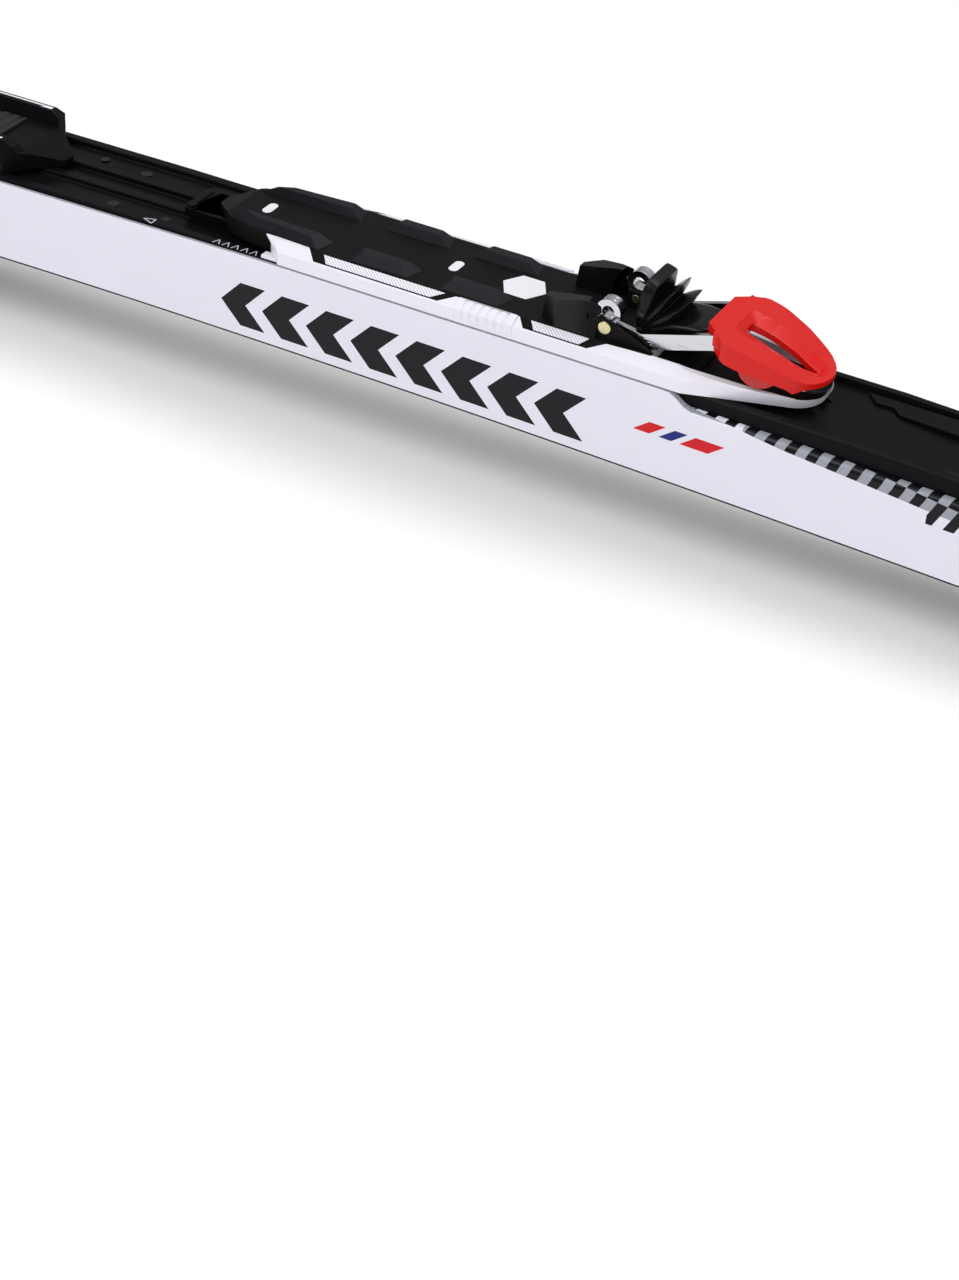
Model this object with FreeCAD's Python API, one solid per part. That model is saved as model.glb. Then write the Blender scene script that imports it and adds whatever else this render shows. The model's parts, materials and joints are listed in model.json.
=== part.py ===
"""Cross country ski with a toe-bar binding that slides on a norm plate.

Frame: +X towards the tip, +Y towards the skier's left, +Z up, millimetres.
The origin is on the ground plane, under the middle of the ski's length.
The ski stands unloaded on its two contact lines, so its middle is arched clear of the ground.
Binding parts are drawn in binding coordinates: u along the ski from the foot plate's
hexagon, z from the foot plate's surface. place() moves them onto the ski.
"""
import FreeCAD, Part

import math
import os

V = FreeCAD.Vector
os.makedirs("parts", exist_ok=True)

# ---- ski, driving dimensions ----
LENGTH = 1980.0           # tip to tail
TIP_CONTACT = 740.0       # front contact line with the snow
TAIL_CONTACT = -930.0     # rear contact line
TIP_RISE = 56.0           # height of the shovel's underside at the tip
TAIL_RISE = 7.0
CAMBER = 28.0             # free arch height
APEX_X = -200.0           # the arch is highest here
WAIST_HALF = 22.2         # half widths
TIP_HALF = 23.6
TAIL_HALF = 22.8
WAIST_THICK = 28.0
END_THICK = 8.5           # at the contact lines
TIP_THICK = 5.0
BASE_T = 1.3              # running base
LAMINATE_T = 0.9          # each fibre laminate
WALL_T = 2.6              # side wall
SHEET_T = 1.6             # topsheet
GROOVE_HALF = 4.0         # guide groove in the base
GROOVE_DEPTH = 0.7
SKIN_HALF = 17.0          # mohair insert
SKIN_T = 0.9

# ---- binding, driving dimensions ----
HEX_X = -90.0             # the hexagon's place along the ski
FOOT_ABOVE_BASE = 38.0    # foot plate's surface above the running surface
PLATE_TOP = -6.6          # norm plate's running surface, from the foot surface
PLATE_HALF = 21.0
PLATE_REAR, PLATE_FRONT = -262.0, 235.0
PLATE_SPLIT = -6.0
LEVEL_REAR, LEVEL_FRONT = -140.0, 125.0   # the plate is level between these
REAR_SLOPE, FRONT_SLOPE = 0.012, 0.033    # and falls away with the ski outside them
GAP = 0.1                 # sliding clearance under the binding
TRAY_BOTTOM = PLATE_TOP + GAP
TRAY_FLOOR = -4.3
BAR_U, BAR_Z = 35.8, 8.5  # centre of the boot's toe bar
BAR_R = 2.1               # seat for a 4 mm toe bar
CLAW_R = 4.2
PIVOT_U, PIVOT_Z = 35.8, 3.7
PIN_R, PIN_HEAD_R = 1.5, 2.25
PIN_CLEAR = 0.05
BOW_IN, BOW_OUT = 11.2, 13.0              # bow strip, distances from the centre plane
CLAW_IN, CLAW_OUT = 9.0, 13.2
CHEEK_IN, CHEEK_OUT = 13.5, 15.2
HEEL_U = -215.0           # middle of the heel piece

saved = []


def save(name, shape):
    """Writes one node's solid or group of solids."""
    solids = shape.Solids
    made = solids[0] if len(solids) == 1 else Part.makeCompound(solids)
    made.exportStep("parts/" + name + ".step")
    saved.append(name)
    ok = all(s.isValid() and s.Volume > 0 for s in solids)
    print(f"{name:18s} solids {len(solids)} volume {made.Volume:10.1f} {'ok' if ok else 'BAD'}")


def box(u0, u1, y0, y1, z0, z1):
    return Part.makeBox(u1 - u0, y1 - y0, z1 - z0, V(u0, y0, z0))


def prism_z(points, z0, z1):
    """A plan outline (u, y) raised from z0 to z1."""
    wire = Part.makePolygon([V(u, y, z0) for u, y in points + points[:1]])
    return Part.Face(wire).extrude(V(0, 0, z1 - z0))


def prism_y(points, y0, y1):
    """A side outline (u, z) carried from y0 to y1."""
    wire = Part.makePolygon([V(u, y0, z) for u, z in points + points[:1]])
    return Part.Face(wire).extrude(V(0, y1 - y0, 0))


def rod_y(u, z, radius, y0, y1):
    return Part.makeCylinder(radius, y1 - y0, V(u, y0, z), V(0, 1, 0))


def both_outline(half):
    """The whole plan outline from its left half, listed from the rear to the front."""
    return half + [(u, -y) for u, y in reversed(half) if y > 0]


def both(shape):
    """A shape on the left together with its mirror image on the right."""
    return Part.makeCompound([shape, shape.mirror(V(0, 0, 0), V(0, 1, 0))])


def fuse(shapes):
    made = shapes[0].multiFuse(shapes[1:])
    return made.removeSplitter()


def place(shape):
    moved = shape.copy()
    moved.translate(V(HEX_X, 0, FOOT_Z))
    return moved


def blend(a, b, share):
    return a + (b - a) * share


def smooth(share):
    """0 to 1 with level ends."""
    s = min(1.0, max(0.0, share))
    return s * s * (3 - 2 * s)


# ---------------- ski ----------------

def base_z(x):
    """Height of the running surface: an arch between the contact lines, a shovel and a short kick."""
    if x > TIP_CONTACT:
        return TIP_RISE * ((x - TIP_CONTACT) / (LENGTH / 2 - TIP_CONTACT)) ** 2.2
    if x < TAIL_CONTACT:
        return TAIL_RISE * ((TAIL_CONTACT - x) / (LENGTH / 2 + TAIL_CONTACT)) ** 2
    reach = TIP_CONTACT - APEX_X if x > APEX_X else APEX_X - TAIL_CONTACT
    return CAMBER * (1 - ((x - APEX_X) / reach) ** 2) ** 2


FOOT_Z = base_z(HEX_X) + FOOT_ABOVE_BASE


def thick(x):
    """Thickness: full under the plate, easing to the contact lines, thinner again at the tip."""
    if x > TIP_CONTACT:
        return blend(END_THICK, TIP_THICK, smooth((x - TIP_CONTACT) / 200))
    front = (x - HEX_X - 160) / (TIP_CONTACT - HEX_X - 160)
    rear = (HEX_X - 200 - x) / (HEX_X - 200 - TAIL_CONTACT)
    share = max(front, rear, 0.0)
    return blend(WAIST_THICK, END_THICK, 0.5 - 0.5 * math.cos(math.pi * min(1.0, share) ** 0.85))


def half_width(x):
    """Half the width: a light side cut, a long round tip and a blunt tail."""
    if x >= HEX_X:
        w = blend(WAIST_HALF, TIP_HALF, smooth((x - HEX_X) / 830))
    else:
        w = blend(WAIST_HALF, TAIL_HALF, smooth((HEX_X - x) / 850))
    nose = (x - 860) / (LENGTH / 2 - 860)
    if nose > 0:
        w *= max(0.0, 1 - nose ** 2.6) ** 0.5
    tail = (-955 - x) / (LENGTH / 2 - 955)
    if tail > 0:
        w *= 1 - 0.28 * tail ** 2
    return w


def open_shoulder(x):
    """0 under the boot and 1 ahead of the tray, where the shoulder opens."""
    return smooth((x - HEX_X - 45) / 30)


def chamfer(x):
    """Width and height of the shoulder between side wall and top, wide on the forebody."""
    share = max(smooth((x - 200) / 350), smooth((-420 - x) / 300))
    t = thick(x) - BASE_T - LAMINATE_T
    wide, high = blend(0.9, 2.6, open_shoulder(x)), blend(1.1, 2.4, open_shoulder(x))
    return blend(wide, 5.0, share), min(0.62 * t, blend(high, 4.5, share))


LIP_LEVEL = -6.75         # top of the side walls beside the binding, in binding coordinates
LIP_FALL = 0.0175         # and how it falls away behind the binding
LIP_REAR, LIP_FRONT = -262.0, 62.0


def wall_lip(x):
    """How far the side walls stand above the topsheet beside the plate."""
    u = x - HEX_X
    if not LIP_REAR <= u <= LIP_FRONT:
        return 0.0
    level = FOOT_Z + LIP_LEVEL - LIP_FALL * max(0.0, -90.0 - u)
    return level - base_z(x) - thick(x)


def loft(sections):
    wires = [Part.makePolygon(s + s[:1]) for s in sections]
    return Part.makeLoft(wires, True, True)


SKIN_REAR, SKIN_FRONT = HEX_X - 190.0, HEX_X + 240.0
LIP_MARKS = [HEX_X + u for u in (-268.0, -262.0, 62.0, 70.0)]
SKIN_MARKS = [SKIN_REAR, SKIN_REAR + 0.5, SKIN_FRONT - 0.5, SKIN_FRONT]


def stations(x0, x1):
    """Places along the ski between x0 and x1, closer together towards the tip and tail."""
    xs = [-982, -975, -965, -955, -942, -930, -900, -860, -800, -720, -640, -560, -480, -420,
          -360, -320, -290, -260, -230, -200, -170, -140, -110, -90, -70, -40, -10, 20, 50, 80,
          110, 150, 200, 250, 300, 360, 420, 480, 540, 600, 660, 700, 740, 770, 800, 830, 860,
          880, 900, 920, 940, 955]
    places = {float(x) for x in xs}.union(SKIN_MARKS, LIP_MARKS)
    return [x0] + sorted(x for x in places if x0 + 0.3 < x < x1 - 0.3) + [x1]


SOLE_INSET = 0.08         # the side walls stand this far outside base and laminate


def slab(x0, x1, low, high):
    """A full-width layer between two heights above the running surface."""
    sections = []
    for x in stations(x0, x1):
        w, z = half_width(x) - SOLE_INSET, base_z(x)
        sections.append([V(x, -w, z + low), V(x, w, z + low), V(x, w, z + high), V(x, -w, z + high)])
    return loft(sections)


SKI_REAR, SKI_FRONT = -982.0, 955.0       # the end pieces cover the rest


def running_base():
    """Base with its guide groove, which widens into the recess for the grip skin."""
    sections = []
    for x in stations(SKI_REAR, SKI_FRONT):
        w, z = half_width(x) - SOLE_INSET, base_z(x)
        in_skin = SKIN_REAR + 0.4 < x < SKIN_FRONT - 0.4
        g, d = (SKIN_HALF, SKIN_T) if in_skin else (GROOVE_HALF, GROOVE_DEPTH)
        sections.append([V(x, -w, z), V(x, -g, z), V(x, -g, z + d), V(x, g, z + d), V(x, g, z),
                         V(x, w, z), V(x, w, z + BASE_T), V(x, -w, z + BASE_T)])
    return loft(sections)


def grip_skin():
    sections = []
    for x in stations(SKIN_REAR + 0.5, SKIN_FRONT - 0.5):
        z, w = base_z(x), SKIN_HALF - 0.1
        sections.append([V(x, -w, z), V(x, w, z), V(x, w, z + SKIN_T), V(x, -w, z + SKIN_T)])
    return loft(sections)


CAP_LOW = BASE_T + LAMINATE_T


def cavity(x):
    """Half widths and heights of the space under the topsheet: (foot, shoulder, flat), (foot, knee, top)."""
    w, z, t = half_width(x), base_z(x), thick(x)
    cw, ch = chamfer(x)
    top = z + t - SHEET_T
    return (w - WALL_T, w - WALL_T, w - WALL_T - cw), (z + CAP_LOW, max(z + CAP_LOW + 0.3, top - ch), top)


def top_cap():
    """Topsheet and side walls as one inverted trough."""
    sections = []
    for x in stations(SKI_REAR, SKI_FRONT):
        w, z, t = half_width(x), base_z(x), thick(x)
        cw, ch = chamfer(x)
        (a, b, c), (z0, z1, z2) = cavity(x)
        lip = wall_lip(x)
        left = [(w, z + CAP_LOW), (w, z + t - ch + lip), (w - cw, z + t + lip), (w - cw - 0.3, z + t)]
        inner = [(c, z2), (b, z1), (a, z0)]
        loop = [V(x, y, h) for y, h in left] + [V(x, -y, h) for y, h in reversed(left)]
        loop += [V(x, -y, h) for y, h in reversed(inner)] + [V(x, y, h) for y, h in inner]
        sections.append(loop)
    return loft(sections)


def core():
    """The core fills the space under the upper laminate."""
    sections = []
    for x in stations(SKI_REAR, SKI_FRONT):
        (a, b, c), (z0, z1, z2) = cavity(x)
        knee = z2 - LAMINATE_T
        z1 = min(z1, knee - 0.2)
        sections.append([V(x, -a, z0), V(x, a, z0), V(x, b, z1), V(x, c, knee),
                         V(x, -c, knee), V(x, -b, z1)])
    return loft(sections)


def upper_laminate():
    """Fibre layer between the core and the topsheet."""
    sections = []
    for x in stations(SKI_REAR, SKI_FRONT):
        (_, _, c), (_, _, z2) = cavity(x)
        knee = z2 - LAMINATE_T
        sections.append([V(x, -c, knee), V(x, c, knee), V(x, c, z2), V(x, -c, z2)])
    return loft(sections)


def end_piece(x0, x1):
    """Solid moulded end over the full thickness."""
    count = 10
    sections = []
    for i in range(count + 1):
        share = i / count
        ease = math.sin(share * math.pi / 2)
        x = x0 + (x1 - x0) * ease
        w, z, t = max(1.2, half_width(x)), base_z(x), thick(x)
        cw, ch = chamfer(x)
        cw = min(cw, 0.6 * w)
        sections.append([V(x, -w, z), V(x, w, z), V(x, w, z + t - ch), V(x, w - cw, z + t),
                         V(x, -w + cw, z + t), V(x, -w, z + t - ch)])
    return loft(sections)


# ---------------- norm plate ----------------

def plate_top(u):
    """Height of the plate's running surface, in binding coordinates."""
    if u < LEVEL_REAR:
        return PLATE_TOP - REAR_SLOPE * (LEVEL_REAR - u)
    if u > LEVEL_FRONT:
        return PLATE_TOP - FRONT_SLOPE * (u - LEVEL_FRONT)
    return PLATE_TOP


RAIL_IN, RIB_OUT, RIB_IN = 17.4, 7.4, 3.4
POCKET, GROOVE, RIB_DROP = 1.9, 2.2, 0.3
FLAT_FROM = 107.0         # ahead of the binding the plate's middle is flat


def ski_top(x):
    """Height of the topsheet, straight from one station to the next as the cap is made."""
    xs = stations(SKI_REAR, SKI_FRONT)
    a, b = next((p, q) for p, q in zip(xs, xs[1:]) if p <= x <= q)
    return blend(base_z(a) + thick(a), base_z(b) + thick(b), (x - a) / (b - a))


def norm_plate(u0, u1):
    """Rails at the sides, two ribs beside the centre groove, pockets between; it follows the ski below."""
    marks = {x - HEX_X for x in stations(SKI_REAR, SKI_FRONT)}
    marks.update([PLATE_REAR + 7, LEVEL_REAR, LEVEL_FRONT, PLATE_FRONT - 6, FLAT_FROM - 3, FLAT_FROM])
    us = [u0] + sorted(m for m in marks if u0 + 0.5 < m < u1 - 0.5) + [u1]
    sections = []
    for u in us:
        x = HEX_X + u
        low = ski_top(x)
        top = plate_top(u) + FOOT_Z
        end = u in (PLATE_REAR, PLATE_FRONT)
        if end:
            top = low + 1.6
        pocket, groove, drop = (1.2, 1.2, 0.3) if end else (POCKET, GROOVE, RIB_DROP)
        if u >= FLAT_FROM:
            groove, drop = pocket + 0.03, pocket - 0.03
        side = PLATE_HALF - 1.7 * open_shoulder(x)
        rail = RAIL_IN - 1.0 * open_shoulder(x)
        half = [(side, low), (side, top - 0.5), (side - 0.5, top), (rail, top), (rail - 0.5, top - pocket),
                (RIB_OUT, top - pocket), (RIB_OUT - 0.4, top - drop),
                (RIB_IN, top - drop), (RIB_IN - 0.2, top - groove)]
        loop = [V(x, y, h) for y, h in half] + [V(x, -y, h) for y, h in reversed(half)]
        sections.append(loop)
    return loft(sections)


# ---------------- binding, in binding coordinates ----------------

def tray_outline(half, corner, centre, radius):
    """Plan of the tray: cut rear corners, parallel sides, a taper and a round front lip."""
    n = 12
    arc = [(centre + radius * math.sin(math.radians(a)), radius * math.cos(math.radians(a)))
           for a in [22 + (90 - 22) * i / n for i in range(n)]]
    left = [(-86.5, 15.0), (corner - 4.0, 15.0 + 0.55 * (half - 15.0)), (corner, half), (66.0, half)]
    return both_outline(left + arc + [(centre + radius, 0.0)])


def between_levels(low, z0, high, z1):
    """A body from one plan outline to another."""
    wires = [Part.makePolygon([V(u, y, z) for u, y in p + p[:1]]) for p, z in ((low, z0), (high, z1))]
    return Part.makeLoft(wires, True, True)


FOOT_HALF_OUTLINE = [(-114.0, 2.4), (-105.0, 11.5), (-96.0, 14.4), (-84.0, 15.6), (-71.0, 16.2),
                     (-66.5, 21.0), (-20.5, 21.0), (-15.5, 17.4), (7.5, 17.4), (10.5, 21.0), (33.0, 21.0),
                     (38.0, 17.4), (53.0, 16.6)]


def half_between(u0, u1):
    """The stretch of the foot plate's left outline between u0 and u1."""
    pts = FOOT_HALF_OUTLINE

    def at(u):
        for (a, ya), (b, yb) in zip(pts, pts[1:]):
            if a <= u <= b:
                return ya + (yb - ya) * (u - a) / (b - a)
        return pts[-1][1]
    return [(u0, at(u0))] + [p for p in pts if u0 < p[0] < u1] + [(u1, at(u1))]


SEAM = -12.0              # between foot plate and toe housing
HOUSING_END = 38.3        # front of the housing's high floor
SLOPE_TOP, SLOPE_FOOT = (17.0, 0.0), (21.8, -2.0)   # the binding's sides slope between these (y, z)
SCREW_PLACES = [(-70.0, 11.0), (-70.0, -11.0), (-22.0, 11.0), (-22.0, -11.0), (8.0, 11.0),
                (8.0, -11.0)]
PAD_REAR, PAD_FRONT = -14.0, 7.0
POINTER = (-86.6, -79.4, -20.8, -17.4)    # rear, front, near and far edge of the scale pointer


def screws(grow=0.0):
    shapes = []
    for u, y in SCREW_PLACES:
        head = Part.makeCylinder(2.8 + grow, 1.3, V(u, y, TRAY_BOTTOM + 0.2), V(0, 0, 1))
        shank = Part.makeCylinder(1.5 + grow, 4.0, V(u, y, TRAY_BOTTOM + 1.4), V(0, 0, 1))
        shapes.append(head.fuse(shank).removeSplitter())
    return Part.makeCompound(shapes)


def lip_body():
    """The tray's sloping front wall and lip, as a band seen from the side."""
    return prism_y([(62, TRAY_BOTTOM), (113, TRAY_BOTTOM), (113, -0.9), (100, -2.4), (62, 0.0)], -23, 23)


def prism_x(points, u0, u1):
    """A cross section (y, z) carried from u0 to u1."""
    wire = Part.makePolygon([V(u0, y, z) for y, z in points + points[:1]])
    return Part.Face(wire).extrude(V(u1 - u0, 0, 0))


def beyond_slope():
    """The space outside the binding's sloping sides."""
    (y0, z0), (y1, z1) = SLOPE_TOP, SLOPE_FOOT
    return both(prism_x([(y0, z0), (y0, 3.0), (25.0, 3.0), (25.0, z1), (y1, z1)], -120, 60))


def on_slope(rise, depth, u0, u1):
    """A skin along the sloping side, from rise above its surface to depth below."""
    (y0, z0), (y1, z1) = SLOPE_TOP, SLOPE_FOOT
    run = math.hypot(y1 - y0, z1 - z0)
    ny, nz = (z0 - z1) / run, (y1 - y0) / run
    corners = [(y0 + rise * ny, z0 + rise * nz), (y1 + rise * ny, z1 + rise * nz),
               (y1 - depth * ny, z1 - depth * nz), (y0 - depth * ny, z0 - depth * nz)]
    return prism_x(corners, u0, u1)


def binding_base():
    foot_plan = tray_outline(21.7, -79.5, 94.5, 11.0)
    knee_plan = tray_outline(SLOPE_FOOT[0], -79.5, 95.2, 12.4)
    top_plan = tray_outline(SLOPE_TOP[0], -83.5, 96.4, 15.6)
    outer = fuse([between_levels(foot_plan, TRAY_BOTTOM, knee_plan, SLOPE_FOOT[1]),
                  between_levels(knee_plan, SLOPE_FOOT[1], top_plan, SLOPE_TOP[1])])
    side = prism_y([(-90, TRAY_BOTTOM - 1), (63, TRAY_BOTTOM - 1), (63, 2), (-90, 2)], -23, 23)
    outer = outer.common(fuse([side, lip_body()]))
    well = between_levels(well_outline(14.1, 95.2, 10.6), TRAY_FLOOR, well_outline(14.8, 96.4, 14.2), 0.1)
    foot = prism_z(both_outline(half_between(-84.0, 53.05)), TRAY_FLOOR, 5)
    rear = box(-90, -84, -15.7, 15.7, TRAY_BOTTOM - 1, 1)
    made = outer.cut(well).cut(foot).cut(rear)
    tongue = box(-78, 92, -2.9, 2.9, PLATE_TOP - 1.8, TRAY_BOTTOM)
    made = made.fuse(tongue).removeSplitter()
    for side_y in (1, -1):
        y0, y1 = sorted((17.45 * side_y, 24.0 * side_y))
        made = made.cut(box(PAD_REAR - 0.05, PAD_FRONT + 0.05, y0, y1, -4.85, 3))
    made = made.cut(box(*POINTER, TRAY_BOTTOM - 1, TRAY_BOTTOM + 1.2))
    return made.cut(screws()).cut(box(-90, -70, -9, 9, TRAY_BOTTOM - 3, TRAY_BOTTOM))


def well_outline(shoulder, centre, radius, clear=0.0):
    """Plan of the sunk floor under the lever, drawn in by clear."""
    n = 12
    r = radius - clear
    arc = [(centre + r * math.sin(math.radians(a)), r * math.cos(math.radians(a)))
           for a in [22 + (90 - 22) * i / n for i in range(n)]]
    rear = [(53.0 + clear, 16.1 - clear), (66.0, 16.1 - clear), (79.0, shoulder - clear)]
    return both_outline(rear + arc + [(centre + r, 0.0)])


OBLONGS = [-96.0, -25.0]
LATCH_HALF = 9.0
LAND_REAR, LAND_FRONT, LAND_HALF, LAND_TOP = -88.0, -32.0, 8.6, 0.1   # where the sole's middle rests


def oblong(u, grow=0.0):
    """A stadium across the foot plate."""
    r = 1.7 + grow
    mid = box(u - r, u + r, -1.9, 1.9, -0.8, 0.15)
    ends = [Part.makeCylinder(r, 0.95, V(u, y, -0.8)) for y in (-1.9, 1.9)]
    return fuse([mid] + ends)


def hexagon(r=7.8, z0=-0.8, z1=0.15):
    pts = [(r * math.cos(math.radians(60 * i)), r * math.sin(math.radians(60 * i))) for i in range(6)]
    return prism_z(pts, z0, z1)


WINDOWS = [[(-64.6, 17.5), (-19.4, 17.5), (-23.4, 20.5), (-62.0, 20.5)],
           [(11.6, 17.5), (32.2, 17.5), (30.0, 20.5), (14.0, 20.5)]]


def windows():
    """Inlays let into the sloping sides."""
    made = []
    for outline in WINDOWS:
        column = prism_z(outline, -8, 3)
        made += both(column.common(on_slope(0.12, 0.6, -120, 60))).Solids
    return Part.makeCompound(made)


def foot_plate():
    made = prism_z(both_outline(half_between(-114.0, SEAM)), TRAY_FLOOR, 0)
    nose = prism_z(both_outline(half_between(-114.0, -84.0)), TRAY_BOTTOM + 0.1, 0)
    made = fuse([made, nose])
    bevel = prism_y([(-115, 0.1), (-115, -2.4), (-106, 0.1)], -20, 20)
    made = made.cut(bevel)
    made = made.cut(box(-116, -93, -LATCH_HALF - 0.3, LATCH_HALF + 0.3, TRAY_BOTTOM - 1, -3.9))
    made = fuse([made, box(LAND_REAR, LAND_FRONT, -LAND_HALF, LAND_HALF, -0.5, LAND_TOP)])
    for u in OBLONGS:
        made = made.cut(oblong(u))
    return made.cut(beyond_slope()).cut(windows()).cut(screws())


RIDGE = 3.0               # height of the guide ridges


def guide_ridges():
    """Blocks with sloped ends and sides that sit between the boot sole's grooves."""
    shapes = []
    for u0, u1 in [(-103.0, -66.0), (-57.0, -32.5), (-24.0, 0.5)]:
        nose = u0 < -90
        foot = Part.makePolygon([V(u0 - (2 if nose else 0), 8.8, 0), V(u1, 8.8, 0), V(u1 - 2.0, 16.3, 0),
                                 V(u0 + (7 if nose else 1.5), 14.2 if nose else 16.3, 0),
                                 V(u0 - (2 if nose else 0), 8.8, 0)])
        top = Part.makePolygon([V(u0 + 4, 9.9 if nose else 10.6, RIDGE), V(u1 - 4.5, 10.6, RIDGE),
                                V(u1 - 5.5, 14.2, RIDGE),
                                V(u0 + (9 if nose else 5), 12.6 if nose else 14.2, RIDGE),
                                V(u0 + 4, 9.9 if nose else 10.6, RIDGE)])
        shapes.append(both(Part.makeLoft([foot, top], True, True)))
    return Part.makeCompound([s for shape in shapes for s in shape.Solids])


def rib_pad():
    """White side pad with upright grip ribs on its slope."""
    pad = prism_x([(17.5, -4.8), (22.1, -4.8), (22.1, -1.5), (18.2, 0.3), (17.5, 0.3)], PAD_REAR, PAD_FRONT)
    n = 6
    pitch = (PAD_FRONT - PAD_REAR) / (n + 1)
    for i in range(n):
        u = PAD_REAR + pitch * (i + 1)
        groove = prism_x([(18.4, 0.6), (22.6, -1.2), (22.6, -4.0), (21.6, -4.0), (21.6, -1.9), (18.1, -0.3)],
                         u - 0.45, u + 0.45)
        pad = pad.cut(groove)
    return pad


def claw_room():
    """Space that the turning claws sweep, either side."""
    shapes = []
    for y0, y1 in [(CLAW_IN - 0.3, CHEEK_IN)]:
        sweep = rod_y(PIVOT_U, PIVOT_Z, 9.6, y0, y1)
        shapes.append(sweep.common(box(20, 60, 0, 20, 0.0, 20)))
    return both(fuse(shapes))


def toe_housing():
    """High floor with the pin posts and the two cheeks that taper down to the front."""
    floor = prism_z(both_outline(half_between(SEAM + 0.05, HOUSING_END)), TRAY_FLOOR, 0)
    cheek = prism_y([(30, -0.5), (30.5, 4.2), (33.0, 6.2), (37.5, 6.0), (52.0, 0.0), (52.5, TRAY_FLOOR),
                     (30, TRAY_FLOOR)], CHEEK_IN, CHEEK_OUT)
    post = box(33.0, 38.3, 7.1, 8.7, -0.5, 6.2)
    apron = box(HOUSING_END - 0.5, 52.5, CHEEK_IN, 16.4, TRAY_FLOOR, -0.4)
    seat = box(HOUSING_END - 0.5, 47.0, -7.0, 7.0, TRAY_FLOOR, 0.0)
    made = fuse([floor, seat] + both(cheek).Solids + both(post).Solids + both(apron).Solids)
    made = made.cut(both(rod_y(PIVOT_U, PIVOT_Z, PIN_R, 7.0, CHEEK_IN + 0.1)))
    made = made.cut(both(rod_y(PIVOT_U, PIVOT_Z, PIN_HEAD_R, CHEEK_IN - 0.1, CHEEK_OUT + 1)))
    made = made.cut(both(hexagon_recess()))
    return made.cut(beyond_slope()).cut(windows()).cut(screws()).cut(claw_room())


def hexagon_recess():
    return hexagon(z1=0.5)


def toe_ear():
    """Guide ear: a wedge that leans in and narrows to the front, with room for the claw."""
    foot = [(13.2, 9.9), (33.6, 9.9), (33.6, 16.9), (19.0, 16.9), (13.2, 13.4)]
    crown = [(14.4, 10.4), (33.2, 10.8), (33.2, 12.9), (19.9, 15.9), (14.4, 12.9)]
    wires = [Part.makePolygon([V(u, y, z) for u, y in p + p[:1]]) for p, z in ((foot, 0.0), (crown, 11.0))]
    ear = Part.makeLoft(wires, True, True)
    side = [(12.0, -1.0), (12.0, 7.0), (14.6, 7.9), (20.0, 9.0), (27.0, 10.4), (31.0, 10.6), (33.0, 9.4),
            (34.0, 7.2), (34.0, -1.0)]
    ear = ear.common(prism_y(side, 9, 18))
    ear = ear.cut(rod_y(PIVOT_U, PIVOT_Z, 9.6, 9.0, CHEEK_IN).common(box(20, 50, 8, 14, -0.1, 14)))
    cheek = box(29.4, 40, CHEEK_IN - 0.1, CHEEK_OUT + 0.1, -1, 7.0)
    return ear.cut(cheek)


def front_pan():
    """Black floor of the tray under the lever, stepped, with two cross ribs."""
    outline = well_outline(14.1, 95.2, 10.6, 0.15)
    pan = prism_z(outline, TRAY_FLOOR, -3.6)
    ribs = [box(u, u + 1.6, -13, 13, -3.7, -2.8) for u in (66.0, 79.0)]
    step = box(53.2, 60.0, -13.2, 13.2, TRAY_FLOOR, -2.6)
    return fuse([pan, step] + ribs).common(prism_z(outline, TRAY_FLOOR, 0))


FIN_TIPS = [(54.2, 17.6), (58.4, 14.2)]


def flexor():
    """Rubber fan: a leaning top block, two fins and a low tongue that runs under the lever."""
    side = [(40.8, 0.1), (42.4, 10.5), (45.8, 20.2), (49.5, 18.9), (49.7, 15.6), (46.0, 7.4), (46.6, 7.1),
            (50.9, 15.2), FIN_TIPS[0], (54.0, 13.9), (47.2, 5.9), (47.8, 5.6), (55.0, 12.9), FIN_TIPS[1],
            (57.2, 10.9), (48.6, 4.5), (49.2, 4.2), (57.4, 9.2), (61.0, 8.4), (67.9, 9.3),
            (67.9, 7.1), (58.0, 4.4), (50.0, 2.6), (46.6, 0.1)]
    return prism_y(side, -6.6, 6.6)


def pivot_pins():
    shank = rod_y(PIVOT_U, PIVOT_Z, PIN_R, 7.1, CHEEK_IN + 0.2)
    head = rod_y(PIVOT_U, PIVOT_Z, PIN_HEAD_R, CHEEK_IN, CHEEK_OUT + 0.15)
    return both(shank.fuse(head).removeSplitter())


KNEE = (72.0, 9.0)
BOW_FRONT = (109.0, -1.2)


def bow_band(grow=0.0):
    """The bow's side view: down from the pins, up to the knee, down to the front."""
    top = [(34.0, 6.1), (38.5, 5.6), (47.5, 4.2), (KNEE[0], KNEE[1] + 2.6), (BOW_FRONT[0], 0.4)]
    low = [(BOW_FRONT[0], -2.4), (KNEE[0], KNEE[1] - 2.7), (48.0, -1.2), (38.5, 0.8), (34.0, 0.9)]
    return prism_y([(u, z + grow) for u, z in top] + [(u, z - grow) for u, z in low], -20, 20)


def bow_plan(inner, outer, r_in, r_out):
    """Plan of the strip: straight arms, a taper and a round front."""
    n = 14
    pts_out = [(34.0, outer), (74.0, outer)]
    pts_in = [(34.0, inner), (74.0, inner)]
    for i in range(n + 1):
        a = math.radians(12 + (90 - 12) * i / n)
        pts_out.append((97.4 + r_out * math.sin(a), r_out * math.cos(a)))
        pts_in.append((97.4 + r_in * math.sin(a), r_in * math.cos(a)))
    left = pts_out + list(reversed(pts_in))
    strip = prism_z(left, -12, 20)
    return fuse([strip, strip.mirror(V(0, 0, 0), V(0, 1, 0))])


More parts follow.
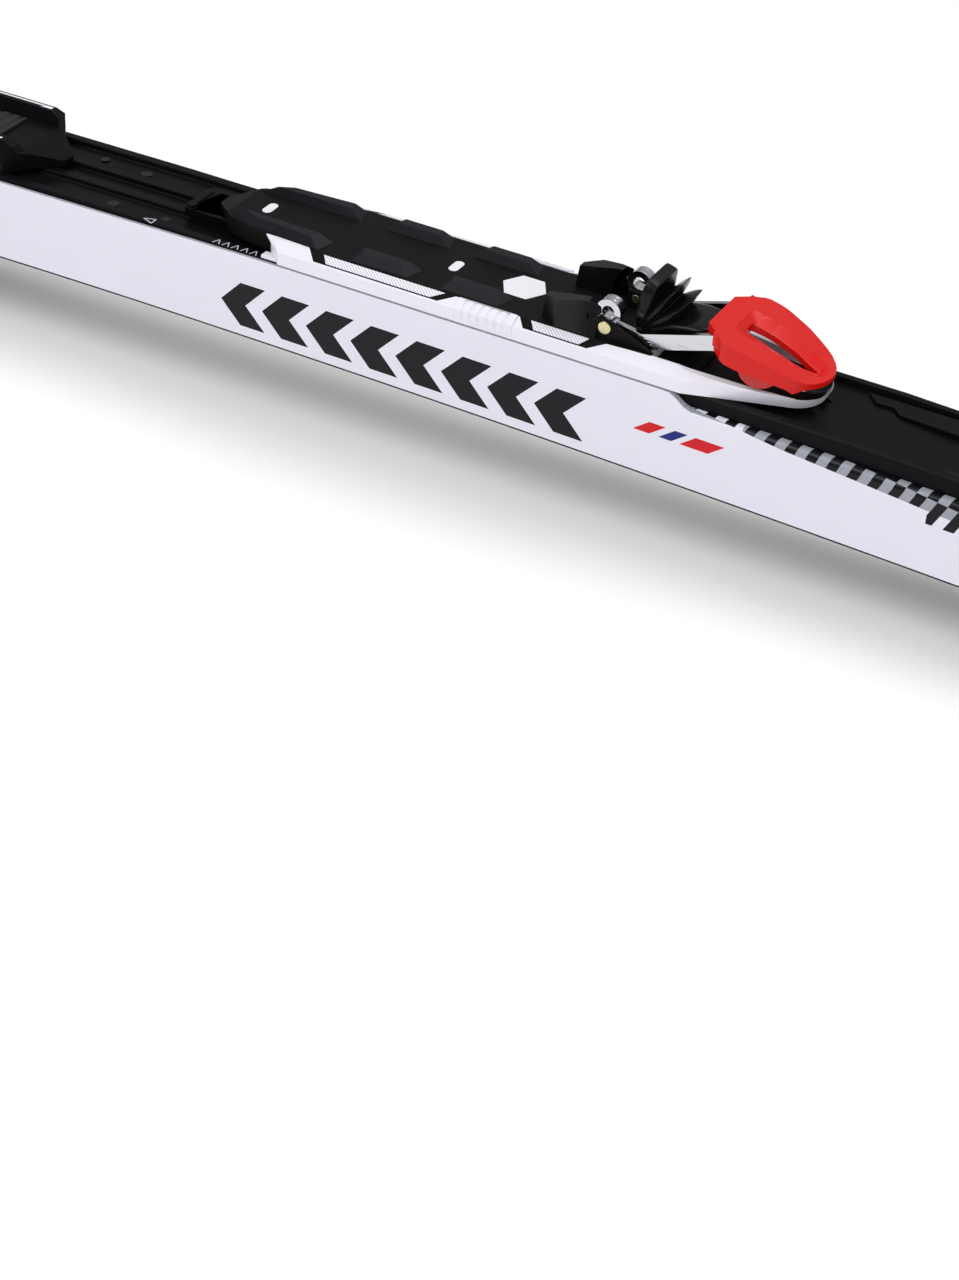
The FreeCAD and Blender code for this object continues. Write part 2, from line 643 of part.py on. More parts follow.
def claw():
    """Boss on the pin with a hook that passes behind and over the toe bar."""
    boss = rod_y(PIVOT_U, PIVOT_Z, 2.75, CLAW_IN, CLAW_OUT)
    ring = rod_y(BAR_U, BAR_Z, CLAW_R, CLAW_IN, CLAW_OUT)
    mouth = prism_y([(BAR_U, BAR_Z), (BAR_U + 9, BAR_Z - 1.6), (BAR_U + 9, BAR_Z - 9),
                     (BAR_U + 0.2, BAR_Z - 9)], CLAW_IN - 1, CLAW_OUT + 1)
    below = box(BAR_U - 9, BAR_U + 9, CLAW_IN - 1, CLAW_OUT + 1, BAR_Z - 9, BAR_Z - 4.6)
    neck = prism_y([(BAR_U - 4.1, BAR_Z - 0.5), (BAR_U - 2.2, BAR_Z - 0.5), (PIVOT_U - 0.4, PIVOT_Z),
                    (PIVOT_U - 2.7, PIVOT_Z)], CLAW_IN, CLAW_OUT)
    made = fuse([ring.cut(mouth).cut(below), boss, neck])
    foot = prism_y([(PIVOT_U, PIVOT_Z - 2.7), (PIVOT_U, PIVOT_Z + 2.3), (38.8, 5.4), (38.8, 0.8)],
                   CLAW_IN + 1, CLAW_OUT)
    made = fuse([made, foot])
    return made.cut(rod_y(BAR_U, BAR_Z, BAR_R, CLAW_IN - 1, CLAW_OUT + 1))


def steel_bow():
    strip = bow_plan(BOW_IN, BOW_OUT, 7.6, 9.4).common(bow_band())
    claws = both(claw())
    made = fuse([strip] + claws.Solids)
    made = made.cut(both(rod_y(BAR_U, BAR_Z, BAR_R, CLAW_IN - 1, CLAW_OUT + 1)))
    return made.cut(both(rod_y(PIVOT_U, PIVOT_Z, PIN_R + PIN_CLEAR, CLAW_IN - 1, CLAW_OUT + 1)))


GRIP_EDGE = [(68.2, 9.6), (72.0, 13.2), (75.6, 16.5), (77.5, 17.3), (81.0, 17.3), (85.0, 16.6), (89.0, 15.7),
             (93.0, 14.7), (96.5, 13.5), (99.8, 12.1), (102.5, 10.2), (104.6, 7.8), (106.1, 5.2),
             (106.9, 2.6)]
GRIP_FRONT = 107.1


def grip_outline(inset=0.0):
    """Plan of the grip: narrow rear edge, wings, a taper and a round front."""
    middle = 88.0
    half = GRIP_FRONT - middle
    left = [(u - inset * (u - middle) / half, y - inset) for u, y in GRIP_EDGE]
    return both_outline(left + [(GRIP_FRONT - inset, 0.0)])


GRIP_TOP = [(66.0, 13.9), (72.0, 13.3), (76.0, 12.4), (84.0, 10.6), (92.0, 7.7), (100.0, 4.1), (104.0, 2.8),
            (108.5, 2.3)]
GRIP_SKIN = 4.2           # from the grip's top down to the hollow under it


def grip_basin():
    """Space over the valley along the grip: sections (u, half width at the brim, at the floor, depth)."""
    sections = []
    for u, brim, floor, depth in [(75.5, 8.0, 3.0, 0.05), (78.5, 8.0, 3.2, 1.9), (85.0, 7.6, 3.4, 2.1),
                                  (92.0, 7.0, 3.3, 2.2), (98.0, 6.2, 2.9, 2.1), (102.3, 5.2, 2.2, 1.6),
                                  (105.0, 3.4, 1.2, 0.05)]:
        top = next(za + (zb - za) * (u - ua) / (ub - ua)
                   for (ua, za), (ub, zb) in zip(GRIP_TOP, GRIP_TOP[1:]) if ua <= u <= ub)
        sections.append([V(u, -brim, top + 0.02), V(u, -floor, top - depth), V(u, floor, top - depth),
                         V(u, brim, top + 0.02), V(u, brim, 30), V(u, -brim, 30)])
    return loft(sections)


def grip_slot():
    """The long slot: blunt at the rear, pointed at the front."""
    outline = [(77.8, 2.6), (82.0, 3.1), (88.0, 3.2), (94.0, 2.7), (99.0, 1.5), (101.6, 0.5), (102.0, 0.0)]
    return prism_z(both_outline(outline), -10, 20)


def lever_grip():
    foot = [(108.5, 0.9), (102.0, 0.9), (99.0, -0.5), (97.0, 0.8), (92.0, 2.3), (78.0, 5.2), (66.0, 8.8)]
    band = prism_y(GRIP_TOP + foot, -24, 24)
    shell = prism_z(grip_outline(), -12, 20).common(band)
    under = [(u, z - GRIP_SKIN) for u, z in GRIP_TOP]
    room = prism_y([(60.0, 9.7)] + under + [(108.5, -12), (60.0, -12)], -24, 24)
    cavity_shape = prism_z(grip_outline(2.0), -12, 20).common(room)
    rear = box(60, 78, -9.0, 9.0, -10, 11.6).common(room)
    made = shell.cut(cavity_shape).cut(rear)
    keep = prism_z(both_outline([(72.0, 14.6), (92.0, 12.2), (92.0, 0.0)]), -12, 20)
    keep = keep.common(prism_y([(72, 14), (92, 8.3), (92, 2.7), (72, 9.0)], -24, 24)).common(band)
    ribs = keep.cut(box(60, 100, -10.0, 10.0, -12, 20))
    made = fuse([made] + ribs.Solids)
    arms = bow_plan(BOW_IN - 0.25, BOW_OUT + 0.25, 7.3, 9.7).common(prism_y(
        [(50, 5.0), (72.0, 11.85), (110, -0.15), (110, -12), (50, -12)], -24, 24))
    made = made.cut(arms).cut(steel_bow())
    return made.cut(grip_basin()).cut(grip_slot())


def lever_cams():
    """Half-round walls that carry on below the grip's sides."""
    ring = prism_z(grip_outline(0.3), -12, 20).cut(prism_z(grip_outline(2.2), -13, 21))
    disc = rod_y(88.5, 6.2, 6.6, 10, 24)
    below = prism_y([(78.0, 5.2), (92.0, 2.3), (97.0, 0.8), (97.0, -12), (78.0, -12)], 10, 24)
    return both(ring.common(disc).common(below))


def slide_latch():
    """Flat lock frame: a rear cross bar with a finger knob, two side bars that pass under the nose."""
    body = prism_z(both_outline([(-125.0, 7.6), (-123.8, LATCH_HALF), (-97.0, LATCH_HALF), (-95.0, 7.6)]),
                   TRAY_BOTTOM + 0.05, -4.1)
    window = box(-119.4, -100.0, -6.4, 6.4, TRAY_BOTTOM - 1, 0)
    knob = Part.makeCylinder(1.7, 1.7, V(-122.4, -7.0, -4.6))
    lip = box(-124.4, -121.8, -5.0, 5.6, -4.6, -3.5)
    return fuse([body, knob, lip]).cut(window)


def scale_pointer():
    return box(*POINTER, TRAY_BOTTOM, TRAY_BOTTOM + 1.1)


# ---------------- heel piece, in its own level frame on the plate ----------------

HEEL_HALF_LENGTH = 37.5


def on_heel(shape):
    """Lays a heel part on the plate's rear slope."""
    moved = shape.copy()
    moved.rotate(V(0, 0, 0), V(0, 1, 0), -math.degrees(math.atan(REAR_SLOPE)))
    moved.translate(V(HEX_X + HEEL_U, 0, FOOT_Z + plate_top(HEEL_U) + 0.06))
    return moved


def heel_block():
    """Dished block: raised sides that end short, a low pointed nose, a key in the plate's groove."""
    h = HEEL_HALF_LENGTH
    plan = both_outline([(-h, 13.0), (-h + 5, 18.6), (h - 14.5, 18.6), (h - 8.5, 10.0), (h, 2.6)])
    nose = prism_y([(-h, 0), (h + 1, 0), (h + 1, 1.8), (h - 12, 6.6), (-h + 8, 7.4), (-h, 6.0)], -20, 20)
    wing = prism_y([(-h, 0), (h - 11.2, 0), (h - 11.0, 5.0), (h - 12.2, 9.0), (h - 16, 11.0),
                    (-h + 6, 11.4), (-h, 6.0)], 10.4, 20)
    back = prism_y([(-h, 0), (-h + 12, 0), (-h + 12, 7.4), (-h + 8, 11.4), (-h + 6, 11.4), (-h, 6.0)],
                   -11, 11)
    made = prism_z(plan, 0, 14).common(fuse([nose, back] + both(wing).Solids))
    edge = prism_x([(15.2, 12), (19, 12), (19, 3.4), (18.6, 3.4)], -h - 1, h + 1)
    lean = prism_x([(10.3, 12), (12.6, 12), (10.3, 5.5)], -h + 12, h + 1)
    made = made.cut(both(edge)).cut(both(lean))
    made = made.cut(heel_pad()).cut(heel_inlays())
    key = box(-h + 4, h - 6, -2.9, 2.9, -1.9, 0.0)
    return made.fuse(key).removeSplitter()


def heel_pad():
    """Rubber pad with cross ridges let into the dish."""
    pad = box(-24.0, 14.0, -8.4, 8.4, 5.6, 7.9)
    for i in range(9):
        u = -22.4 + 4.2 * i
        pad = pad.cut(box(u, u + 1.6, -9, 9, 7.4, 8.2))
    return pad


def heel_inlays():
    """White lines along the raised sides and a small corner mark on the left one."""
    h = HEEL_HALF_LENGTH
    line = box(-h + 8, h - 17, 14.0, 14.9, 10.3, 11.7).common(
        prism_y([(-h, 0), (h, 0), (h - 5, 11.0), (-h + 6, 11.4)], 0, 20))
    mark = prism_z([(h - 21.5, 13.3), (h - 16.5, 14.9), (h - 16.5, 13.3)], 9.9, 11.08)
    return Part.makeCompound([both(line), mark])


# ---------------- build ----------------

save("running_base", running_base())
save("grip_skin", grip_skin())
save("lower_laminate", slab(SKI_REAR, SKI_FRONT, BASE_T, CAP_LOW))
save("core", core())
save("upper_laminate", upper_laminate())
save("top_cap", top_cap())
save("tip_protector", end_piece(SKI_FRONT, LENGTH / 2))
save("tail_protector", end_piece(SKI_REAR, -LENGTH / 2))
save("norm_plate_rear", norm_plate(PLATE_REAR, PLATE_SPLIT - 0.1))
save("norm_plate_front", norm_plate(PLATE_SPLIT, PLATE_FRONT))

save("binding_base", place(binding_base()))
save("foot_plate", place(foot_plate()))
save("guide_ridges", place(guide_ridges()))
save("oblong_inlays", place(Part.makeCompound([oblong(u) for u in OBLONGS])))
save("hexagon_inlay", place(hexagon()))
save("window_inlays", place(Part.makeCompound(windows().Solids)))
pad_left = rib_pad()
save("rib_pad_left", place(pad_left))
save("rib_pad_right", place(pad_left.mirror(V(0, 0, 0), V(0, 1, 0))))
save("toe_housing", place(toe_housing()))
ear_left = toe_ear()
save("toe_ear_left", place(ear_left))
save("toe_ear_right", place(ear_left.mirror(V(0, 0, 0), V(0, 1, 0))))
save("front_pan", place(front_pan()))
save("flexor", place(flexor()))
save("pivot_pins", place(pivot_pins()))
save("housing_screws", place(screws()))
save("scale_pointer", place(scale_pointer()))

save("steel_bow", place(steel_bow()))
save("lever_grip", place(lever_grip()))
save("lever_cams", place(lever_cams()))

save("slide_latch", place(slide_latch()))

save("heel_block", on_heel(heel_block()))
save("heel_pad", on_heel(heel_pad()))
save("heel_inlays", on_heel(heel_inlays()))
print(len(saved), "nodes")
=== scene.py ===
"""Cross country ski with a sliding toe-bar binding: the looks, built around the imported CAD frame.

Frame: +X towards the tip, +Y towards the skier's left, +Z up, metres; the ski stands on the floor.
Binding pieces use binding coordinates in millimetres: u along the ski from the foot plate's
hexagon, y across, z from the foot plate's surface. placed() turns them into metres on the ski.
"""

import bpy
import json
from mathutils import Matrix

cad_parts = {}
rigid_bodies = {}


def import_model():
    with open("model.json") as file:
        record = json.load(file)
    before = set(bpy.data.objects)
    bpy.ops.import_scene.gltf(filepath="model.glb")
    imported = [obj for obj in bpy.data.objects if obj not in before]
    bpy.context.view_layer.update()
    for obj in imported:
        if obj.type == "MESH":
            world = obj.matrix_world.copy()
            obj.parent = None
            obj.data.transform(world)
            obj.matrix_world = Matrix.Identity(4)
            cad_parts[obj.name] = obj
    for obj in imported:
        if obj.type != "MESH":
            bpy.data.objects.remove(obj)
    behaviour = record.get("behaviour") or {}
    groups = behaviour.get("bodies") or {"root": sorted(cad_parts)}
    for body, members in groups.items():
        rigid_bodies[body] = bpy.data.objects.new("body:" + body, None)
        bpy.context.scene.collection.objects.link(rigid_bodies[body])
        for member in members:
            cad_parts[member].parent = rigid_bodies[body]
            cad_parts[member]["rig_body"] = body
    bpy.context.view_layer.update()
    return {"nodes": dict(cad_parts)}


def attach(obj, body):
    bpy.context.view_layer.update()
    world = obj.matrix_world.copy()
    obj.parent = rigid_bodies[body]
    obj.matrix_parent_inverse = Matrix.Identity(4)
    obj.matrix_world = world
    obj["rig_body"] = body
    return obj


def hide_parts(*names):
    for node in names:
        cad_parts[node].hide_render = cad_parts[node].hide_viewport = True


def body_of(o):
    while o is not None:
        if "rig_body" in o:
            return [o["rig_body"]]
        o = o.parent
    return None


bl_info = {
    "name": "Cross country ski",
    "version": (1, 0, 0),
    "blender": (4, 5, 0),
    "location": "View3D > Sidebar > Ski",
    "description": "Builds the visible ski, plate, binding, lever and heel piece around the CAD frame",
    "category": "Add Mesh",
}

import json
import math

import bmesh
import bpy
import numpy as np
from bpy.props import FloatProperty, FloatVectorProperty, IntProperty, PointerProperty
from mathutils import Matrix, Vector

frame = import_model()
MM = 0.001


# ---------------- settings ----------------

def length(name, value, text):
    """A length setting, in metres, written in millimetres."""
    return FloatProperty(name=name, description=text, default=value * MM, unit="LENGTH", precision=5)


def colour(name, code, text):
    """A colour setting from an sRGB hex code."""
    return FloatVectorProperty(name=name, description=text, default=linear(code), size=3, subtype="COLOR",
                               min=0.0, max=1.0)


def linear(code):
    """sRGB hex code to linear colour: c/12.92 below 0.04045, ((c+0.055)/1.055)^2.4 above."""
    parts = [int(code[i:i + 2], 16) / 255 for i in (1, 3, 5)]
    return tuple(c / 12.92 if c <= 0.04045 else ((c + 0.055) / 1.055) ** 2.4 for c in parts)


class SkiSizes(bpy.types.PropertyGroup):
    """Sizes of the ski body."""
    total: length("Length", 1980, "Tip to tail")
    tip_contact: length("Front contact", 740, "Front contact line with the snow")
    tail_contact: length("Rear contact", -930, "Rear contact line")
    tip_rise: length("Tip rise", 56, "Height of the shovel's underside at the tip")
    tail_rise: length("Tail rise", 7, "Height of the tail's underside")
    camber: length("Camber", 28, "Free arch height")
    apex: length("Camber apex", -200, "Where the arch is highest")
    waist_half: length("Waist half width", 22.2, "Half width under the foot")
    tip_half: length("Shovel half width", 23.6, "Half width of the shovel")
    tail_half: length("Tail half width", 22.8, "Half width of the tail")
    waist_thick: length("Waist thickness", 28, "Thickness under the plate")
    end_thick: length("Contact thickness", 8.5, "Thickness at the contact lines")
    tip_thick: length("Tip thickness", 5, "Thickness at the tip")
    skirt: length("Cap foot", 2.2, "Height of the core's cap foot over the running surface")
    sole: length("Sole line", 0.6, "Dark base edge left in sight under the wall")
    flute: length("Flute depth", 0.55, "Depth of the two flutes along the forebody")
    rows: IntProperty(name="Rows", description="Sections along the ski", default=760, min=50, max=3000)


class BindingSizes(bpy.types.PropertyGroup):
    """Where the binding stands."""
    hexagon_x: length("Hexagon", -90, "Place of the foot plate's hexagon along the ski")
    foot_above: length("Foot height", 38, "Foot plate's surface above the running surface")
    plate_top: length("Plate height", -6.6, "Plate's running surface from the foot surface")
    wall_top: length("Wall top", -6.75, "Top of the side walls beside the binding, from the foot surface")
    edge: length("Moulded edge", 0.35, "Usual edge radius of the moulded parts")


class Colours(bpy.types.PropertyGroup):
    """Colours of the finishes."""
    wall_white: colour("Side wall", "#E7E5F0", "Cool lavender white lacquer")
    sheet_grey: colour("Topsheet", "#93989F", "Silver grey metallic topsheet")
    graphic_black: colour("Graphic black", "#0F0D13", "Printed black")
    cell_grey: colour("Cell grey", "#9C9FA8", "Printed silver grey")
    stripe_red: colour("Stripe red", "#CE1B22", "Printed red")
    stripe_blue: colour("Stripe blue", "#1F2A78", "Printed blue")
    plate_black: colour("Plate", "#0D0D10", "Glass-filled polyamide")
    foot_black: colour("Foot plate", "#141213", "Textured polyamide")
    ridge_black: colour("Guide ridges", "#15161B", "Bluish soft elastomer")
    gloss_black: colour("Ears", "#0E0E11", "Polished polyamide")
    rubber_black: colour("Rubber", "#0D0D10", "Flexor rubber")
    tray_white: colour("Tray", "#ECEAF3", "White polyoxymethylene")
    grip_red: colour("Grip", "#D4120B", "Moulded red")
    cam_red: colour("Cams", "#B91C1A", "Deeper red")


class StageSizes(bpy.types.PropertyGroup):
    """Camera and lights."""
    bearing: FloatProperty(name="Bearing", description="Camera's turn from square on to the skier's right",
                           default=math.radians(26.263), subtype="ANGLE")
    height: FloatProperty(name="Elevation", description="Camera's angle above the floor",
                          default=math.radians(35.766), subtype="ANGLE")
    roll: FloatProperty(name="Roll", description="Camera's roll",
                        default=math.radians(3.978), subtype="ANGLE")
    place: FloatVectorProperty(name="Place", description="Camera from the hexagon", size=3, unit="LENGTH",
                               default=(0.346671, -0.717466, 0.433662), subtype="TRANSLATION")
    lens: FloatProperty(name="Lens", description="Focal length on a 36 mm long side", default=78.895)


def ski():
    return bpy.context.scene.xc_ski


def binding():
    return bpy.context.scene.xc_binding


def paint():
    return bpy.context.scene.xc_colours


# ---------------- node building ----------------

def add_node(tree, kind, links=None, **settings):
    """Adds a shader node, sets its properties and input values, and joins the given sockets."""
    node = tree.nodes.new(kind)
    for key, value in settings.items():
        if hasattr(node, key) and key not in node.inputs:
            setattr(node, key, value)
        else:
            node.inputs[key.replace("_", " ")].default_value = value
    for key, source in (links or {}).items():
        tree.links.new(source, node.inputs[key])
    return node


class Num:
    """A shader number that takes arithmetic, so that patterns read as formulas."""

    def __init__(self, tree, socket):
        self.tree, self.socket = tree, socket

    def apply(self, operation, *others):
        node = self.tree.nodes.new("ShaderNodeMath")
        node.operation = operation
        self.tree.links.new(self.socket, node.inputs[0])
        for i, other in enumerate(others, 1):
            if isinstance(other, Num):
                self.tree.links.new(other.socket, node.inputs[i])
            else:
                node.inputs[i].default_value = other
        return Num(self.tree, node.outputs[0])

    def __add__(self, other):
        return self.apply("ADD", other)

    def __sub__(self, other):
        return self.apply("SUBTRACT", other)

    def __mul__(self, other):
        return self.apply("MULTIPLY", other)

    def __gt__(self, other):
        return self.apply("GREATER_THAN", other)

    def __lt__(self, other):
        return self.apply("LESS_THAN", other)

    def cells(self, size):
        """Number of the cell of that size that the value falls in."""
        return (self * (1 / size)).apply("FLOOR")

    def phase(self, size):
        """0 to 1 within each repeat of that size."""
        return (self * (1 / size)).apply("FRACT")

    def between(self, low, high):
        return (self > low) * (self < high)

    def either(self, other):
        return self.apply("MAXIMUM", other)

    def without(self, other):
        return self * (other * -1.0 + 1.0)


def mixed(tree, factor, low, high):
    """Colour low where factor is 0 and high where it is 1; each is a colour or a socket."""
    node = tree.nodes.new("ShaderNodeMix")
    node.data_type = "RGBA"
    source = factor.socket if isinstance(factor, Num) else factor
    tree.links.new(source, node.inputs["Factor"])
    for name, value in (("A", low), ("B", high)):
        socket = next(s for s in node.inputs if s.name == name and s.type == "RGBA")
        if isinstance(value, bpy.types.NodeSocket):
            tree.links.new(value, socket)
        else:
            socket.default_value = (*value[:3], 1.0)
    return next(s for s in node.outputs if s.type == "RGBA")


def object_mm(tree):
    """Object coordinates in millimetres."""
    where = add_node(tree, "ShaderNodeTexCoord")
    return add_node(tree, "ShaderNodeVectorMath", {0: where.outputs["Object"]}, operation="SCALE",
                    Scale=1 / MM).outputs[0]


def start(name):
    """An empty material with its surface shader; returns material, tree and shader."""
    made = bpy.data.materials.new(name)
    made.use_nodes = True
    tree = made.node_tree
    tree.nodes.clear()
    out = tree.nodes.new("ShaderNodeOutputMaterial")
    shader = tree.nodes.new("ShaderNodeBsdfPrincipled")
    tree.links.new(shader.outputs[0], out.inputs["Surface"])
    return made, tree, shader


def grain(tree, shader, pitch, depth):
    """Fine moulded texture: noise with bumps of that pitch and depth in millimetres."""
    noise = add_node(tree, "ShaderNodeTexNoise", {"Vector": object_mm(tree)}, Scale=1 / pitch, Detail=2.0)
    bump = add_node(tree, "ShaderNodeBump", {"Height": noise.outputs[0]}, Distance=depth * MM, Strength=1.0)
    tree.links.new(bump.outputs[0], shader.inputs["Normal"])
    return noise


def mottled(tree, shader, noise, rough, spread):
    """Roughness that wanders by spread with the noise, as handled plastic does."""
    value = Num(tree, noise.outputs[0]) * (2 * spread) + (rough - spread)
    tree.links.new(value.socket, shader.inputs["Roughness"])


def moulded(name, tint, rough, pitch=0.35, depth=0.012, spread=0.05, coat=0.0, shine=0.5):
    """Injection-moulded plastic or rubber: one tint, a fine mould texture and slightly uneven gloss."""
    made, tree, shader = start(name)
    shader.inputs["Base Color"].default_value = (*tint, 1)
    shader.inputs["Specular IOR Level"].default_value = shine
    shader.inputs["Coat Weight"].default_value = coat
    shader.inputs["Coat Roughness"].default_value = 0.06
    grain(tree, shader, pitch, depth)
    wander = add_node(tree, "ShaderNodeTexNoise", {"Vector": object_mm(tree)}, Scale=0.08, Detail=3.0)
    mottled(tree, shader, wander, rough, spread)
    return made


def metal(name, tint, rough, stretch=(1.0, 1.0, 1.0), depth=0.0):
    """Bare or plated metal; stretch draws the fine scratches out along an axis."""
    made, tree, shader = start(name)
    shader.inputs["Base Color"].default_value = (*tint, 1)
    shader.inputs["Metallic"].default_value = 1.0
    drawn = add_node(tree, "ShaderNodeMapping", {"Vector": object_mm(tree)}, Scale=stretch)
    noise = add_node(tree, "ShaderNodeTexNoise", {"Vector": drawn.outputs[0]}, Scale=1.2, Detail=4.0)
    mottled(tree, shader, noise, rough, rough * 0.4)
    if depth:
        bump = add_node(tree, "ShaderNodeBump", {"Height": noise.outputs[0]}, Distance=depth * MM)
        tree.links.new(bump.outputs[0], shader.inputs["Normal"])
    return made


CELL = 7.13               # mm, one dark and one light cell of the border checker
CELL_ROW = 3.9            # mm, height of a row
CHECK_START = 84.0        # where the checker's falling lower line leaves the shoulder
CHECK_FALL = 0.068
CHECK_FADE = (150.0, 470.0)
PLATE_REAR = -268.0       # the printed black field under the plate ends here
CHECK_PALE = 88.0         # light cells behind this are wall white, ahead of it silver grey
TWO_ROWS = 138.0          # the checker has two rows ahead of this
GRAPHIC = (-101.0, 30.0)  # stretch of the large side graphic
CHEVRON = 17.0            # mm from one chevron to the next
STRIPE_FOOT, STRIPE_TOP = 15.3, 19.45
RED_STRIPES = ((51.9, 57.6), (68.0, 77.8))
BLUE_STRIPE = (60.8, 65.2)
BAND = (520.0, 690.0)     # black band across the forebody
BAND_ARROWS = (575.0, 640.0)


def lacquered_cap():
    """Gloss lacquer over print: cool white walls, silver flake topsheet, a black field under the plate
    edged with a slanted checker, chevrons and three slanted stripes on the walls. The girth map's V is
    mm from the shoulder, up over the top and down the wall; the level map's is mm over the base."""
    made, tree, shader = start("cap_gloss_lacquer")
    c = paint()
    uv = add_node(tree, "ShaderNodeUVMap", uv_map="girth")
    split = add_node(tree, "ShaderNodeSeparateXYZ", {0: uv.outputs[0]})
    u, v = Num(tree, split.outputs[0]), Num(tree, split.outputs[1])
    level_uv = add_node(tree, "ShaderNodeUVMap", uv_map="level")
    height = Num(tree, add_node(tree, "ShaderNodeSeparateXYZ", {0: level_uv.outputs[0]}).outputs[1])
    flakes = add_node(tree, "ShaderNodeTexVoronoi", {"Vector": object_mm(tree)}, Scale=3.2)
    flake = add_node(tree, "ShaderNodeValToRGB", {0: flakes.outputs["Color"]})
    flake.color_ramp.elements[0].color = tuple(x * 0.72 for x in c.sheet_grey) + (1,)
    flake.color_ramp.elements[1].color = tuple(min(1, x * 1.3) for x in c.sheet_grey) + (1,)
    on_top = v > 0.0
    light = mixed(tree, on_top, c.wall_white, flake.outputs[0])
    # checker: columns slanted along the ski, rows counted from a line that falls down the wall
    line = (u - CHECK_START) * -CHECK_FALL
    above = v - line
    lean = u - v * 0.5
    column = (lean + 0.3).cells(CELL / 2)
    row = above.cells(CELL_ROW)
    dark_cell = ((column + row.apply("MAXIMUM", 0.0)) * 0.5).apply("FRACT") > 0.25
    strip = (above > 0.0) * (u > CHECK_START - 13.0)
    second = (u > TWO_ROWS).either(above < CELL_ROW)
    light_cell = strip.without(dark_cell) * (above < 2 * CELL_ROW) * second * (v < 3.2)
    field = (v > 1.5).either(strip).without(light_cell) * (u > PLATE_REAR)
    forward = u > CHECK_FADE[0]
    fade = add_node(tree, "ShaderNodeTexWhiteNoise", noise_dimensions="2D")
    cell_at = add_node(tree, "ShaderNodeCombineXYZ", {0: column.socket, 1: v.cells(CELL_ROW).socket})
    tree.links.new(cell_at.outputs[0], fade.inputs["Vector"])
    scatter = Num(tree, fade.outputs["Value"]) < ((u * -1.0 + CHECK_FADE[1]) * (1 / 240.0))
    field = field.without(forward).either(forward * scatter * (v > -9.0) * ((v > 2.6).either(dark_cell)))
    # band across the forebody with slanted ends and plain chevrons
    wave = (v * 0.5).apply("SINE") * 2.0
    band = (u + v * 0.6 + wave).between(*BAND) * (v > -3.0)
    arrow = (u + v * 1.4).phase(16.0) < 0.34
    arrow = arrow * (u + v * 0.6).between(*BAND_ARROWS) * v.between(9.0, 18.0)
    # wall graphic
    wall = v < 0.0
    middle = (height - 12.0).apply("ABSOLUTE")
    arm = u + middle * -0.95    # the chevrons' arms lean back from the wall's middle line
    chevron = (arm.phase(CHEVRON) < 0.62) * arm.between(*GRAPHIC) * height.between(4.0, 20.0) * wall
    slant = u - (height - STRIPE_FOOT) * 1.3
    printed = height.between(STRIPE_FOOT, STRIPE_TOP) * wall
    red = slant.between(*RED_STRIPES[0]).either(slant.between(*RED_STRIPES[1])) * printed
    blue = slant.between(*BLUE_STRIPE) * printed
    tone = mixed(tree, light_cell * (u > CHECK_PALE), light, c.cell_grey)
    tone = mixed(tree, light_cell * (u < CHECK_PALE), tone, c.wall_white)
    tone = mixed(tree, field.either(band), tone, c.graphic_black)
    tone = mixed(tree, arrow, tone, c.wall_white)
    tone = mixed(tree, chevron, tone, c.graphic_black)
    tone = mixed(tree, red, tone, c.stripe_red)
    tone = mixed(tree, blue, tone, c.stripe_blue)
    tree.links.new(tone, shader.inputs["Base Color"])
    shine = on_top.without(field.either(band)) * (u > 160.0).either(u < PLATE_REAR) * 0.55
    tree.links.new(shine.socket, shader.inputs["Metallic"])
    shader.inputs["IOR"].default_value = 1.5
    shader.inputs["Specular IOR Level"].default_value = 0.15
    shader.inputs["Coat Weight"].default_value = 0.1
    shader.inputs["Coat Roughness"].default_value = 0.05
    # faint orange peel of the lacquer
    noise = grain(tree, shader, 3.5, 0.004)
    mottled(tree, shader, noise, 0.24, 0.04)
    return made


def mohair():
    """Short pile laid towards the tail: drawn-out noise and a soft sheen."""
    made, tree, shader = start("mohair_pile")
    drawn = add_node(tree, "ShaderNodeMapping", {"Vector": object_mm(tree)}, Scale=(0.35, 4.0, 2.0))
    noise = add_node(tree, "ShaderNodeTexNoise", {"Vector": drawn.outputs[0]}, Scale=2.0, Detail=4.0)
    tone = mixed(tree, noise.outputs[0], linear("#6F6D6B"), linear("#B3B0AC"))
    tree.links.new(tone, shader.inputs["Base Color"])
    shader.inputs["Roughness"].default_value = 0.85
    shader.inputs["Sheen Weight"].default_value = 0.5
    bump = add_node(tree, "ShaderNodeBump", {"Height": noise.outputs[0]}, Distance=0.25 * MM)
    tree.links.new(bump.outputs[0], shader.inputs["Normal"])
    return made


def laminate():
    """Woven fibre in resin: fine waves under a clear skin."""
    made, tree, shader = start("fibre_laminate")
    weave = add_node(tree, "ShaderNodeTexWave", {"Vector": object_mm(tree)}, Scale=0.9)
    tone = mixed(tree, weave.outputs[1], linear("#1C1D20"), linear("#3A3B40"))
    tree.links.new(tone, shader.inputs["Base Color"])
    shader.inputs["Roughness"].default_value = 0.35
    shader.inputs["Coat Weight"].default_value = 0.3
    return made


def wood():
    """Light wood core: rings drawn out along the ski."""
    made, tree, shader = start("paulownia_core")
    drawn = add_node(tree, "ShaderNodeMapping", {"Vector": object_mm(tree)}, Scale=(0.01, 0.5, 0.5))
    noise = add_node(tree, "ShaderNodeTexNoise", {"Vector": drawn.outputs[0]}, Scale=1.0, Detail=5.0)
    tone = mixed(tree, noise.outputs[0], linear("#B08A5A"), linear("#E0C59A"))
    tree.links.new(tone, shader.inputs["Base Color"])
    shader.inputs["Roughness"].default_value = 0.6
    return made


